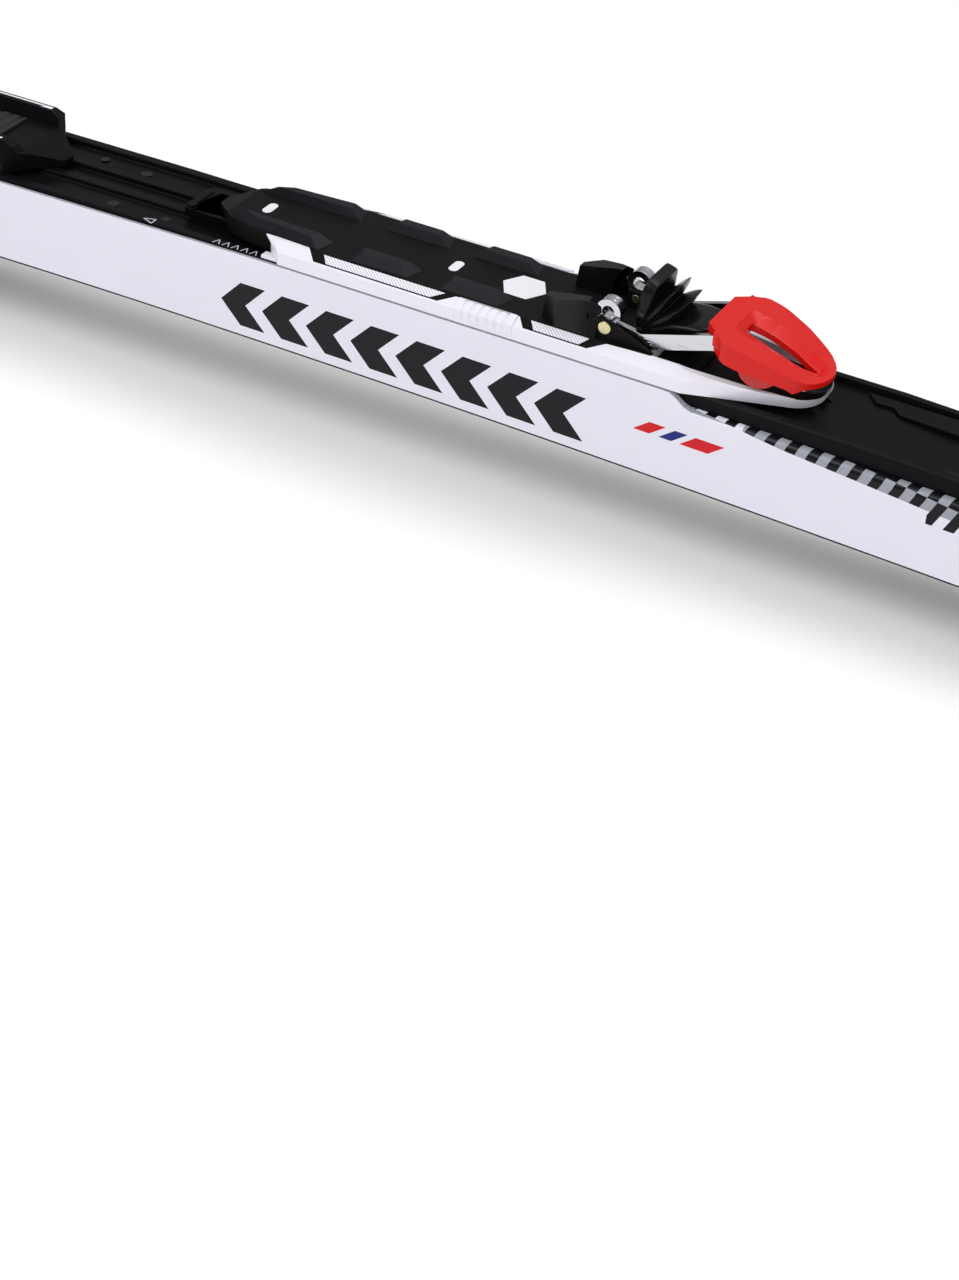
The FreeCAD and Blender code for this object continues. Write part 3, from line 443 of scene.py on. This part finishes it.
def hatched():
    """White inlay with fine slanted grey lines, as in the tray's windows."""
    made, tree, shader = start("hatched_window_inlay")
    split = add_node(tree, "ShaderNodeSeparateXYZ", {0: object_mm(tree)})
    x, y = Num(tree, split.outputs[0]), Num(tree, split.outputs[1])
    line = ((x * 0.7 + y * 0.9).phase(0.9) < 0.25)
    tone = mixed(tree, line, linear("#EDECF3"), linear("#B4B3BE"))
    tree.links.new(tone, shader.inputs["Base Color"])
    shader.inputs["Roughness"].default_value = 0.4
    return made


def stippled():
    """White inlay with a fine raised stipple that scatters the light."""
    made, tree, shader = start("stippled_white_inlay")
    shader.inputs["Base Color"].default_value = (*linear("#EDECF2"), 1)
    shader.inputs["Roughness"].default_value = 0.42
    dots = add_node(tree, "ShaderNodeTexVoronoi", {"Vector": object_mm(tree)}, Scale=1.6)
    bump = add_node(tree, "ShaderNodeBump", {"Height": dots.outputs["Distance"]}, Distance=0.12 * MM)
    tree.links.new(bump.outputs[0], shader.inputs["Normal"])
    return made


def make_materials():
    """Every finish by a short key."""
    c = paint()
    return {
        "cap": lacquered_cap(),
        # black sintered base: satin, very fine stone-ground texture
        "base": moulded("sintered_polyethylene", linear("#0C0C0E"), 0.42, 0.2, 0.006, shine=0.15),
        "mohair": mohair(),
        "laminate": laminate(),
        "core": wood(),
        # moulded tip and tail: smooth black plastic
        "end": moulded("moulded_end_piece", linear("#141417"), 0.3, 0.3, 0.004, coat=0.3),
        # plate: satin black with a faint sparkle of glass fibre texture
        "plate": moulded("glass_filled_polyamide", c.plate_black, 0.33, 0.28, 0.012, 0.08, shine=0.07),
        # tray: bright, slightly soft white plastic
        "tray": moulded("white_polyoxymethylene", c.tray_white, 0.3, 1.5, 0.004, 0.04, coat=0.15),
        # foot plate: dull brownish black, spark-eroded
        "foot": moulded("spark_eroded_polyamide", c.foot_black, 0.46, 0.22, 0.03, 0.06, shine=0.07),
        "ridge": moulded("soft_elastomer", c.ridge_black, 0.36, 0.4, 0.01, 0.05, shine=0.18),
        "inlay": stippled(),
        "window": hatched(),
        # ears: mirror-smooth black with broad highlights
        "ear": moulded("polished_polyamide", c.gloss_black, 0.26, 1.2, 0.002, 0.03, coat=0.08, shine=0.22),
        "flexor": moulded("flexor_rubber", c.rubber_black, 0.24, 0.8, 0.01, 0.06, shine=0.18),
        "brass": metal("pale_passivated_brass", linear("#DAD2A4"), 0.28),
        "steel": metal("zinc_plated_steel", linear("#B9BBC0"), 0.35),
        # chrome on drawn spring steel: nearly mirror
        "chrome": metal("chromed_spring_steel", linear("#CFCFD4"), 0.08, (0.08, 0.4, 0.4), 0.3),
        "grip": moulded("red_polyamide_grip", c.grip_red, 0.3, 0.5, 0.006, 0.05, shine=0.3),
        "cam": moulded("deep_red_cam", c.cam_red, 0.34, 0.5, 0.006, 0.05),
        "heel_rubber": moulded("heel_rubber", linear("#17171A"), 0.55, 0.3, 0.02),
        "print_white": moulded("white_screen_print", linear("#D6D5DE"), 0.4, 0.4, 0.003),
        "print_grey": moulded("grey_moulded_mark", linear("#17171B"), 0.36, 0.3, 0.004, shine=0.25),
    }


MATERIALS = {}


# ---------------- mesh building ----------------

def mesh_object(name, points, faces, smooth_angle=35.0):
    """An object from points in metres and faces; faces meeting under the angle are smooth."""
    mesh = bpy.data.meshes.new(name)
    mesh.from_pydata(points.tolist(), [], faces)
    mesh.validate()
    made = bpy.data.objects.new(name, mesh)
    bpy.context.scene.collection.objects.link(made)
    soften(mesh, smooth_angle)
    return made


def face_outwards(mesh):
    """Turns every face outwards."""
    bm = bmesh.new()
    bm.from_mesh(mesh)
    bmesh.ops.recalc_face_normals(bm, faces=bm.faces)
    bm.to_mesh(mesh)
    bm.free()


def soften(mesh, angle):
    """Smooth shading, sharp where faces meet at more than the angle in degrees."""
    mesh.shade_smooth()
    mesh.set_sharp_from_angle(angle=math.radians(angle))


def grid_faces(n, m):
    """Quads of an n by m grid whose last column joins the first."""
    i, j = np.meshgrid(np.arange(n - 1), np.arange(m), indexing="ij")
    k = (j + 1) % m
    return np.stack([i * m + j, i * m + k, (i + 1) * m + k, (i + 1) * m + j], -1).reshape(-1, 4).tolist()


def skin(name, sections, smooth_angle=35.0):
    """A closed body through sections (n, m, 3), each a closed loop; the ends are flat caps."""
    n, m = sections.shape[:2]
    faces = grid_faces(n, m)
    faces.append(list(range(m))[::-1])
    faces.append([(n - 1) * m + j for j in range(m)])
    made = mesh_object(name, sections.reshape(-1, 3), faces, smooth_angle)
    face_outwards(made.data)
    return made


def shown(obj, key, body, nodes=()):
    """Gives the piece its finish, its body and the CAD nodes it stands for."""
    obj.data.materials.clear()
    obj.data.materials.append(MATERIALS[key])
    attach(obj, body)
    if nodes:
        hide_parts(*nodes)
    return obj


def refined(node, key, width=None, segments=3, angle=28.0):
    """A copy of a CAD node, merged, with its flat faces joined and its edges rounded."""
    source = frame["nodes"][node]
    body = body_of(source)[0]
    bm = bmesh.new()
    bm.from_mesh(source.data)
    bmesh.ops.remove_doubles(bm, verts=bm.verts, dist=2e-6)
    bmesh.ops.dissolve_limit(bm, angle_limit=math.radians(0.6), verts=bm.verts, edges=bm.edges)
    mesh = bpy.data.meshes.new(node + "_shown")
    bm.to_mesh(mesh)
    bm.free()
    made = bpy.data.objects.new(node + "_shown", mesh)
    bpy.context.scene.collection.objects.link(made)
    soften(mesh, angle)
    edge = binding().edge if width is None else width * MM
    bevel = made.modifiers.new("edges", "BEVEL")
    bevel.width, bevel.segments = edge, segments
    bevel.limit_method, bevel.angle_limit = "ANGLE", math.radians(angle)
    bevel.miter_outer = "MITER_ARC"
    bevel.use_clamp_overlap = True
    made.modifiers.new("normals", "WEIGHTED_NORMAL").keep_sharp = True
    return shown(made, key, body, [node])


def plain(node, key):
    """A CAD node shown as it is."""
    source = frame["nodes"][node]
    source.data.materials.clear()
    source.data.materials.append(MATERIALS[key])


# ---------------- ski shape ----------------

CAP_REAR, CAP_FRONT = -0.982, 0.955    # the cap ends here and the end pieces begin
FLUTE_AT, FLUTE_SPREAD = 0.009, 0.0022
CREST_AT, CREST_SPREAD = 0.0125, 0.0012

def ease(share):
    """0 to 1 with a soft start and end: s^2 (3 - 2s)."""
    s = np.clip(share, 0, 1)
    return s * s * (3 - 2 * s)


def base_height(x):
    """Running surface: camber(1 - s^2)^2 between the contact lines, power curves beyond them."""
    k = ski()
    reach = np.where(x > k.apex, k.tip_contact - k.apex, k.apex - k.tail_contact)
    arch = k.camber * (1 - np.clip((x - k.apex) / reach, -1, 1) ** 2) ** 2
    tip = np.clip((x - k.tip_contact) / (k.total / 2 - k.tip_contact), 0, 1)
    tail = np.clip((k.tail_contact - x) / (k.total / 2 + k.tail_contact), 0, 1)
    return arch + k.tip_rise * tip ** 2.2 + k.tail_rise * tail ** 2


def thickness(x):
    """Thickness: full under the plate, cosine ease to the contact lines, thinner at the tip."""
    k, h = ski(), binding().hexagon_x
    front = (x - h - 0.16) / (k.tip_contact - h - 0.16)
    rear = (h - 0.2 - x) / (h - 0.2 - k.tail_contact)
    share = np.clip(np.maximum(front, rear), 0, 1)
    t = k.waist_thick + (k.end_thick - k.waist_thick) * (0.5 - 0.5 * np.cos(np.pi * share ** 0.85))
    tip = k.end_thick + (k.tip_thick - k.end_thick) * ease((x - k.tip_contact) / 0.2)
    return np.where(x > k.tip_contact, tip, t)


def half_width(x):
    """Half width: eased from the waist to shovel and tail, closed by a superellipse at the tip."""
    k, h = ski(), binding().hexagon_x
    w = np.where(x >= h, k.waist_half + (k.tip_half - k.waist_half) * ease((x - h) / 0.83),
                 k.waist_half + (k.tail_half - k.waist_half) * ease((h - x) / 0.85))
    nose = np.clip((x - 0.86) / (k.total / 2 - 0.86), 0, 1)
    tail = np.clip((-0.955 - x) / (k.total / 2 - 0.955), 0, 1)
    return np.maximum(w * np.sqrt(1 - nose ** 2.6) * (1 - 0.28 * tail ** 2), 0.0011)


def shoulder(x):
    """Width and height of the shoulder between wall and top, wide on fore and after body."""
    k = ski()
    share = np.maximum(ease((x - 0.2) / 0.35), ease((-0.42 - x) / 0.3))
    opened = ease((x - binding().hexagon_x - 0.045) / 0.030)
    wide, high = 0.9 + 1.7 * opened, 1.1 + 1.3 * opened
    room = 0.62 * (thickness(x) - k.skirt)
    return MM * (wide + (5.0 - wide) * share), np.minimum(room, MM * (high + (4.5 - high) * share))


def foot_level():
    """Height of the foot plate's surface over the floor."""
    b = binding()
    return float(base_height(np.array([b.hexagon_x]))[0]) + b.foot_above


def wall_lip(x):
    """How far the walls stand above the topsheet beside the plate; falls away behind the binding."""
    u = x - binding().hexagon_x
    level = foot_level() + binding().wall_top - 0.0175 * np.maximum(0, -0.090 - u)
    share = ease((u + 0.268) / 0.006) * (1 - ease((u - 0.062) / 0.008))
    return share * (level - base_height(x) - thickness(x))


def cap_sections(x):
    """Closed loops round the cap: wall, rounded shoulder, fluted top and back along the foot.

    Half loop, outside to middle: the wall is straight, the shoulder follows
    y = w - cw(1 - cos a), z = z1 + ch sin a, and the top carries two flutes
    -d exp(-((|y| - 9)/2.2)^2) on the fore and after body. Returns the points, the way from the
    shoulder along the skin and the height over the running surface.
    """
    k = ski()
    w, z, t = half_width(x), base_height(x), thickness(x)
    cw, ch = shoulder(x)
    cw = np.minimum(cw, 0.6 * w)
    foot = np.broadcast_to(np.minimum(k.sole, 0.4 * t), x.shape)
    knee = t - ch
    lip = wall_lip(x)
    body = np.maximum(ease((x - 0.16) / 0.12), ease((-0.36 - x) / 0.1)) * ease((w - 0.012) / 0.006)
    cols = []
    for s in np.linspace(0, 1, 5):
        cols.append((w, z + foot + (knee + lip - foot) * s, -(knee + lip - foot) * (1 - s) - 0.5 * ch))
    for a in np.linspace(0, np.pi / 2, 6)[1:]:
        cols.append((w - cw * (1 - np.cos(a)), z + knee + lip + ch * np.sin(a) * 0.999,
                     (a / (np.pi / 2) - 0.5) * ch))
    edge = w - cw - 0.0003
    cols.append((edge, z + t, 0.5 * ch + lip + 0.0003))
    for s in np.linspace(0, 1, 22)[1:]:
        y = edge * (1 - s)
        flute = k.flute * body * np.exp(-((y - FLUTE_AT) / FLUTE_SPREAD) ** 2)
        crest = 0.35 * k.flute * body * np.exp(-((y - CREST_AT) / CREST_SPREAD) ** 2)
        cols.append((y, z + t - flute + crest, 0.5 * ch + lip + edge - y))
    half = np.array([[np.broadcast_to(c, x.shape) for c in col] for col in cols])   # (m, 3, n)
    left = np.stack([np.broadcast_to(x, half[:, 0].shape), half[:, 0], half[:, 1]], -1)
    right = left[:-1][::-1].copy()
    right[..., 1] *= -1
    loop = np.concatenate([left, right]).transpose(1, 0, 2)
    v = np.concatenate([half[:, 2], half[:-1, 2][::-1]]).T
    return loop, v, loop[..., 2] - z[:, None]


def skin_map(obj, name, loop, v):
    """Stores a map: U in mm from the hexagon and V in mm."""
    u = (loop[..., 0] - binding().hexagon_x) / MM
    flat = np.stack([u.ravel(), (v / MM).ravel()], -1)
    mesh = obj.data
    corner = np.empty(len(mesh.loops), dtype=np.int64)
    mesh.loops.foreach_get("vertex_index", corner)
    layer = mesh.uv_layers.new(name=name)
    layer.data.foreach_set("uv", flat[corner].astype(np.float32).ravel())


def placed(points):
    """Binding coordinates in millimetres to metres on the ski."""
    return np.asarray(points, float) * MM + np.array([binding().hexagon_x, 0, foot_level()])


def print_prism(name, outlines, z0, z1, key, body):
    """Flat marks: plan outlines in binding coordinates raised from z0 to z1."""
    points, faces = [], []
    for outline in outlines:
        n, k = len(outline), len(points)
        points += [(u, y, z0) for u, y in outline] + [(u, y, z1) for u, y in outline]
        faces += [[k + i, k + (i + 1) % n, k + n + (i + 1) % n, k + n + i] for i in range(n)]
        faces += [[k + i for i in reversed(range(n))], [k + n + i for i in range(n)]]
    made = mesh_object(name, placed(points), faces)
    face_outwards(made.data)
    return shown(made, key, body)


def rect(u0, u1, y0, y1, lean):
    """Four corners of a bar whose far side leans forward."""
    return [(u0, y0), (u1, y0), (u1 + lean, y1), (u0 + lean, y1)]


def stroke(path, width):
    """A thin line through the points as one quad per stretch."""
    quads = []
    for (u0, y0), (u1, y1) in zip(path, path[1:]):
        run = math.hypot(u1 - u0, y1 - y0)
        a, b = (y0 - y1) / run * width / 2, (u1 - u0) / run * width / 2
        quads.append([(u0 + a, y0 + b), (u0 - a, y0 - b), (u1 - a, y1 - b), (u1 + a, y1 + b)])
    return quads


def disc_outline(u, y, r):
    """Points round a circle."""
    a = np.linspace(0, 2 * np.pi, 20, endpoint=False)
    return list(zip((u + r * np.cos(a)).tolist(), (y + r * np.sin(a)).tolist()))


FAN_ROOT = (44.0, 2.0)    # u and z of the line the pleats spread from
FAN_START = 0.6           # the pleats begin this far from it
FAN_ROOT_HALF = 8.6       # half width there
# pleats of the flexor: direction (degrees over the ski), reach, half width; crests and valleys by turns
FAN = [(97.0, 7.0, 8.6), (90.0, 14.5, 9.0), (85.5, 18.2, 9.5), (73.0, 17.8, 9.5), (70.5, 15.0, 9.3),
       (65.0, 12.2, 8.3), (59.5, 16.8, 9.7), (57.0, 18.8, 9.7), (54.0, 16.4, 9.7), (48.5, 12.4, 8.3),
       (43.0, 16.8, 9.7), (40.3, 19.1, 9.7), (37.0, 16.8, 9.7), (31.0, 13.8, 8.4), (25.0, 17.0, 9.4),
       (17.5, 24.6, 9.2), (12.0, 24.4, 9.0), (6.0, 16.0, 8.8), (0.0, 6.0, 8.6)]


def smoothed(values):
    """Running mean with weights 1, 2, 1 that keeps the ends."""
    return np.convolve(np.pad(values, 1, mode="edge"), np.array([1, 2, 1]) / 4, mode="valid")


def pleated_fan():
    """Rubber flexor: pleats that spread from one root line across the ski.

    Along the fan's angle a the reach r(a) and half width w(a) run smoothly through the crests and
    valleys. Each section is a rounded slab: with t once round it, y = w sign(sin t) |sin t|^(2/7),
    and the way out from the root to r goes as 1/2 + 1/2 sign(cos t) |cos t|^0.7.
    """
    table = np.radians(np.array([row[0] for row in FAN])), np.array([row[1:] for row in FAN])
    order = np.argsort(table[0])
    angles = np.linspace(table[0].min(), table[0].max(), 160)
    reach = np.interp(angles, table[0][order], table[1][order, 0])
    half = np.interp(angles, table[0][order], table[1][order, 1])
    reach, half = smoothed(reach), smoothed(half)
    turn = np.linspace(0, 2 * np.pi, 64, endpoint=False)
    across = np.sign(np.sin(turn)) * np.abs(np.sin(turn)) ** (2 / 7)
    out = 0.5 + 0.5 * np.sign(np.cos(turn)) * np.abs(np.cos(turn)) ** 0.7
    r = FAN_START + (reach[:, None] - FAN_START) * out[None, :]
    pinch = FAN_ROOT_HALF + (half[:, None] - FAN_ROOT_HALF) * ease(out[None, :] * 1.6)
    y = pinch * across[None, :]
    u = FAN_ROOT[0] + r * np.cos(angles)[:, None]
    z = FAN_ROOT[1] + r * np.sin(angles)[:, None]
    return skin("pleated_flexor", placed(np.stack([u, y, z], -1)), 50.0)


# ---------------- operators ----------------

FRONT_RIB = 128.0         # u of the notched rib's inner corner on the front plate


class XC_OT_body(bpy.types.Operator):
    """Cap, base, laminates, core and end pieces."""
    bl_idname = "xc.body"
    bl_label = "Ski body"

    def execute(self, context):
        loop, v, level = cap_sections(np.linspace(CAP_REAR, CAP_FRONT, ski().rows))
        cap = skin("lacquered_cap", loop)
        skin_map(cap, "girth", loop, v)
        skin_map(cap, "level", loop, level)
        shown(cap, "cap", "ski", ["top_cap"])
        half = ski().total / 2
        tip = CAP_FRONT + (half - CAP_FRONT) * np.sin(np.linspace(0, 1, 24) * np.pi / 2)
        tail = CAP_REAR - (half + CAP_REAR) * np.linspace(0, 1, 8)
        for name, node, x in (("tip_end", "tip_protector", tip), ("tail_end", "tail_protector", tail)):
            piece_loop = cap_sections(x)[0]
            low = base_height(x)[:, None]
            foot = piece_loop[..., 2] <= low + 0.45 * thickness(x)[:, None]
            wall = foot & (np.abs(piece_loop[..., 1]) >= half_width(x)[:, None] - 1e-6)
            height = piece_loop[..., 2]
            piece_loop[..., 2] = np.where(wall, np.minimum(height, low + 0.0005), height)
            shown(skin(name, piece_loop), "end", "ski", [node])
        plain("running_base", "base")
        plain("grip_skin", "mohair")
        plain("lower_laminate", "laminate")
        plain("upper_laminate", "laminate")
        plain("core", "core")
        return {"FINISHED"}


class XC_OT_plate(bpy.types.Operator):
    """Norm plates with their prints and moulded marks."""
    bl_idname = "xc.plate"
    bl_label = "Norm plate"

    def execute(self, context):
        refined("norm_plate_rear", "plate", 0.28, 2)
        refined("norm_plate_front", "plate", 0.28, 2)
        top = binding().plate_top / MM
        arrow_far = [(-113.2, 17.7), (-109.2, 19.3), (-113.2, 20.8)]
        arrow_near = [(-129.6, -17.8), (-133.6, -19.3), (-129.6, -20.8)]
        outlines = [stroke(arrow + arrow[:1], 0.35) for arrow in (arrow_far, arrow_near)]
        ticks = [stroke([(u - 1.2, -20.4), (u, -17.6), (u + 1.2, -20.4)], 0.3)
                 for u in (-104.4 + 3.6 * i for i in range(5))]
        marks = [quad for lines in outlines + ticks for quad in lines]
        print_prism("scale_print", marks, top - 0.1, top + 0.04, "print_white", "ski")
        floor = top - 1.9
        discs = [disc_outline(u, y, r) for u, y, r in ((-153.0, 11.4, 2.1), (-150.0, -13.4, 2.1),
                                                       (-171.0, 12.5, 1.6), (-129.0, -12.8, 1.6))]
        print_prism("ejector_marks", discs, floor - 0.05, floor + 0.14, "print_grey", "ski")
        x = FRONT_RIB
        rib = [(x - 13, 14.0), (x - 9, 9.5), (x - 3, 9.5), (x, 6.4),
               (x + 22, 5.2), (x + 26, 9.0), (x + 40, 9.0), (x + 44, 14.0)]
        print_prism("notched_rib", [rib], top - 2.6, top - 1.0, "plate", "ski")
        bars = [rect(start_u, start_u + 14, -17.6, -15.6, 1.5) for start_u in (x - 2, x + 22)]
        print_prism("edge_slots", bars, top - 2.6, top - 1.2, "print_grey", "ski")
        return {"FINISHED"}


class XC_OT_tray(bpy.types.Operator):
    """White tray, foot plate, housing, ridges, inlays and pads."""
    bl_idname = "xc.tray"
    bl_label = "Tray and foot plate"

    def execute(self, context):
        refined("binding_base", "tray", 0.35, 3, 14)
        refined("foot_plate", "foot", 0.25, 2, 14)
        refined("toe_housing", "foot", 0.25, 2, 14)
        refined("guide_ridges", "ridge", 1.1, 5)
        refined("oblong_inlays", "inlay", 0.1, 2)
        refined("hexagon_inlay", "inlay", 0.1, 2)
        refined("window_inlays", "window", 0.08, 2)
        refined("rib_pad_left", "tray", 0.35, 3)
        refined("rib_pad_right", "tray", 0.35, 3)
        refined("front_pan", "foot", 0.25, 2)
        refined("scale_pointer", "inlay", 0.2, 2)
        plain("housing_screws", "steel")
        return {"FINISHED"}


class XC_OT_toe(bpy.types.Operator):
    """Ears, flexor and pins."""
    bl_idname = "xc.toe"
    bl_label = "Toe piece"

    def execute(self, context):
        refined("toe_ear_left", "ear", 1.7, 6)
        refined("toe_ear_right", "ear", 1.7, 6)
        shown(pleated_fan(), "flexor", body_of(frame["nodes"]["flexor"])[0], ["flexor"])
        refined("pivot_pins", "brass", 0.3, 3)
        return {"FINISHED"}


class XC_OT_lever(bpy.types.Operator):
    """Chromed bow with its claws, red grip and cams."""
    bl_idname = "xc.lever"
    bl_label = "Lever"

    def execute(self, context):
        refined("steel_bow", "chrome", 0.35, 3)
        refined("lever_grip", "grip", 0.6, 4)
        refined("lever_cams", "cam", 0.3, 3)
        return {"FINISHED"}


class XC_OT_latch(bpy.types.Operator):
    """Slide lock behind the foot plate."""
    bl_idname = "xc.latch"
    bl_label = "Slide lock"

    def execute(self, context):
        refined("slide_latch", "plate", 0.3, 3)
        return {"FINISHED"}


class XC_OT_heel(bpy.types.Operator):
    """Heel piece."""
    bl_idname = "xc.heel"
    bl_label = "Heel piece"

    def execute(self, context):
        refined("heel_block", "plate", 0.5, 3)
        refined("heel_pad", "heel_rubber", 0.2, 2)
        refined("heel_inlays", "inlay", 0.12, 2)
        return {"FINISHED"}


def soft_box(name, place, aim, size, power):
    """A large square studio lamp at a place, aimed at a point."""
    lamp = bpy.data.lights.new(name, "AREA")
    lamp.shape, lamp.size, lamp.size_y, lamp.energy = "RECTANGLE", size[0], size[1], power
    made = bpy.data.objects.new(name, lamp)
    bpy.context.scene.collection.objects.link(made)
    made.location = place
    made.rotation_euler = (Vector(aim) - Vector(place)).to_track_quat("-Z", "Y").to_euler()
    return made


def studio_world():
    """Soft studio: pale overhead, darker towards the horizon, so that dark gloss stays dark."""
    world = bpy.data.worlds.new("studio")
    world.use_nodes = True
    tree = world.node_tree
    where = add_node(tree, "ShaderNodeTexCoord")
    up = add_node(tree, "ShaderNodeSeparateXYZ", {0: where.outputs["Generated"]}).outputs[2]
    height = add_node(tree, "ShaderNodeMapRange", {"Value": up}, interpolation_type="SMOOTHSTEP",
                      From_Min=-0.1, From_Max=0.75, To_Min=0.22, To_Max=0.56)
    tree.links.new(height.outputs[0], tree.nodes["Background"].inputs["Strength"])
    tree.nodes["Background"].inputs["Color"].default_value = (0.95, 0.95, 0.97, 1)
    return world


class XC_OT_stage(bpy.types.Operator):
    """Pale floor, soft lamps and the camera."""
    bl_idname = "xc.stage"
    bl_label = "Stage"

    def execute(self, context):
        scene = context.scene
        s = scene.xc_stage
        aim = Vector(placed([0, 0, 0]))
        floor = mesh_object("floor", np.array([(-9, -9, 0), (9, -9, 0), (9, 9, 0), (-9, 9, 0)], float),
                            [[0, 1, 2, 3]])
        made, _, shader = start("pale_studio_floor")
        shader.inputs["Base Color"].default_value = (*linear("#FFFFFF"), 1)
        shader.inputs["Roughness"].default_value = 0.9
        floor.data.materials.append(made)
        scene.world = studio_world()
        lamps = [soft_box("key", aim + Vector((-0.6, -0.9, 1.5)), aim, (1.1, 1.1), 13),
                 soft_box("top", aim + Vector((0.5, 0.7, 1.7)), aim, (1.6, 1.0), 12.5),
                 soft_box("side", aim + Vector((1.5, -1.1, 0.7)), aim, (0.9, 1.2), 7)]
        camera = bpy.data.cameras.new("camera")
        camera.sensor_width = 36.0
        camera.sensor_fit = "AUTO"
        camera.lens = s.lens
        camera.clip_start = 0.01
        eye = bpy.data.objects.new("camera", camera)
        scene.collection.objects.link(eye)
        back = Vector((math.sin(s.bearing) * math.cos(s.height), -math.cos(s.bearing) * math.cos(s.height),
                       math.sin(s.height)))
        right = Vector((math.cos(s.bearing), math.sin(s.bearing), 0))
        up = back.cross(right)
        x = math.cos(s.roll) * right + math.sin(s.roll) * up
        y = -math.sin(s.roll) * right + math.cos(s.roll) * up
        turn = Matrix((x, y, back)).transposed().to_4x4()
        eye.matrix_world = Matrix.Translation(aim + Vector(s.place)) @ turn
        scene.camera = eye
        scene.view_settings.view_transform = "Standard"
        return {"FINISHED"}


class XC_PT_panel(bpy.types.Panel):
    """Sidebar panel with the settings and one button per group."""
    bl_idname = "XC_PT_panel"
    bl_label = "Cross country ski"
    bl_space_type = "VIEW_3D"
    bl_region_type = "UI"
    bl_category = "Ski"

    def draw(self, context):
        for group in ("xc_ski", "xc_binding", "xc_colours", "xc_stage"):
            box = self.layout.box()
            settings = getattr(context.scene, group)
            for name in settings.__annotations__:
                box.prop(settings, name)
        for operator in OPERATORS:
            self.layout.operator(operator.bl_idname)


OPERATORS = (XC_OT_body, XC_OT_plate, XC_OT_tray, XC_OT_toe,
             XC_OT_lever, XC_OT_latch, XC_OT_heel, XC_OT_stage)
GROUPS = {"xc_ski": SkiSizes, "xc_binding": BindingSizes, "xc_colours": Colours, "xc_stage": StageSizes}


def register():
    for made in (*GROUPS.values(), *OPERATORS, XC_PT_panel):
        bpy.utils.register_class(made)
    for name, group in GROUPS.items():
        setattr(bpy.types.Scene, name, PointerProperty(type=group))


def unregister():
    for name in GROUPS:
        delattr(bpy.types.Scene, name)
    for made in reversed((*GROUPS.values(), *OPERATORS, XC_PT_panel)):
        bpy.utils.unregister_class(made)


def main():
    register()
    MATERIALS.update(make_materials())
    for operator in OPERATORS:
        group, name = operator.bl_idname.split(".")
        getattr(getattr(bpy.ops, group), name)()


if __name__ == "__main__":
    main()
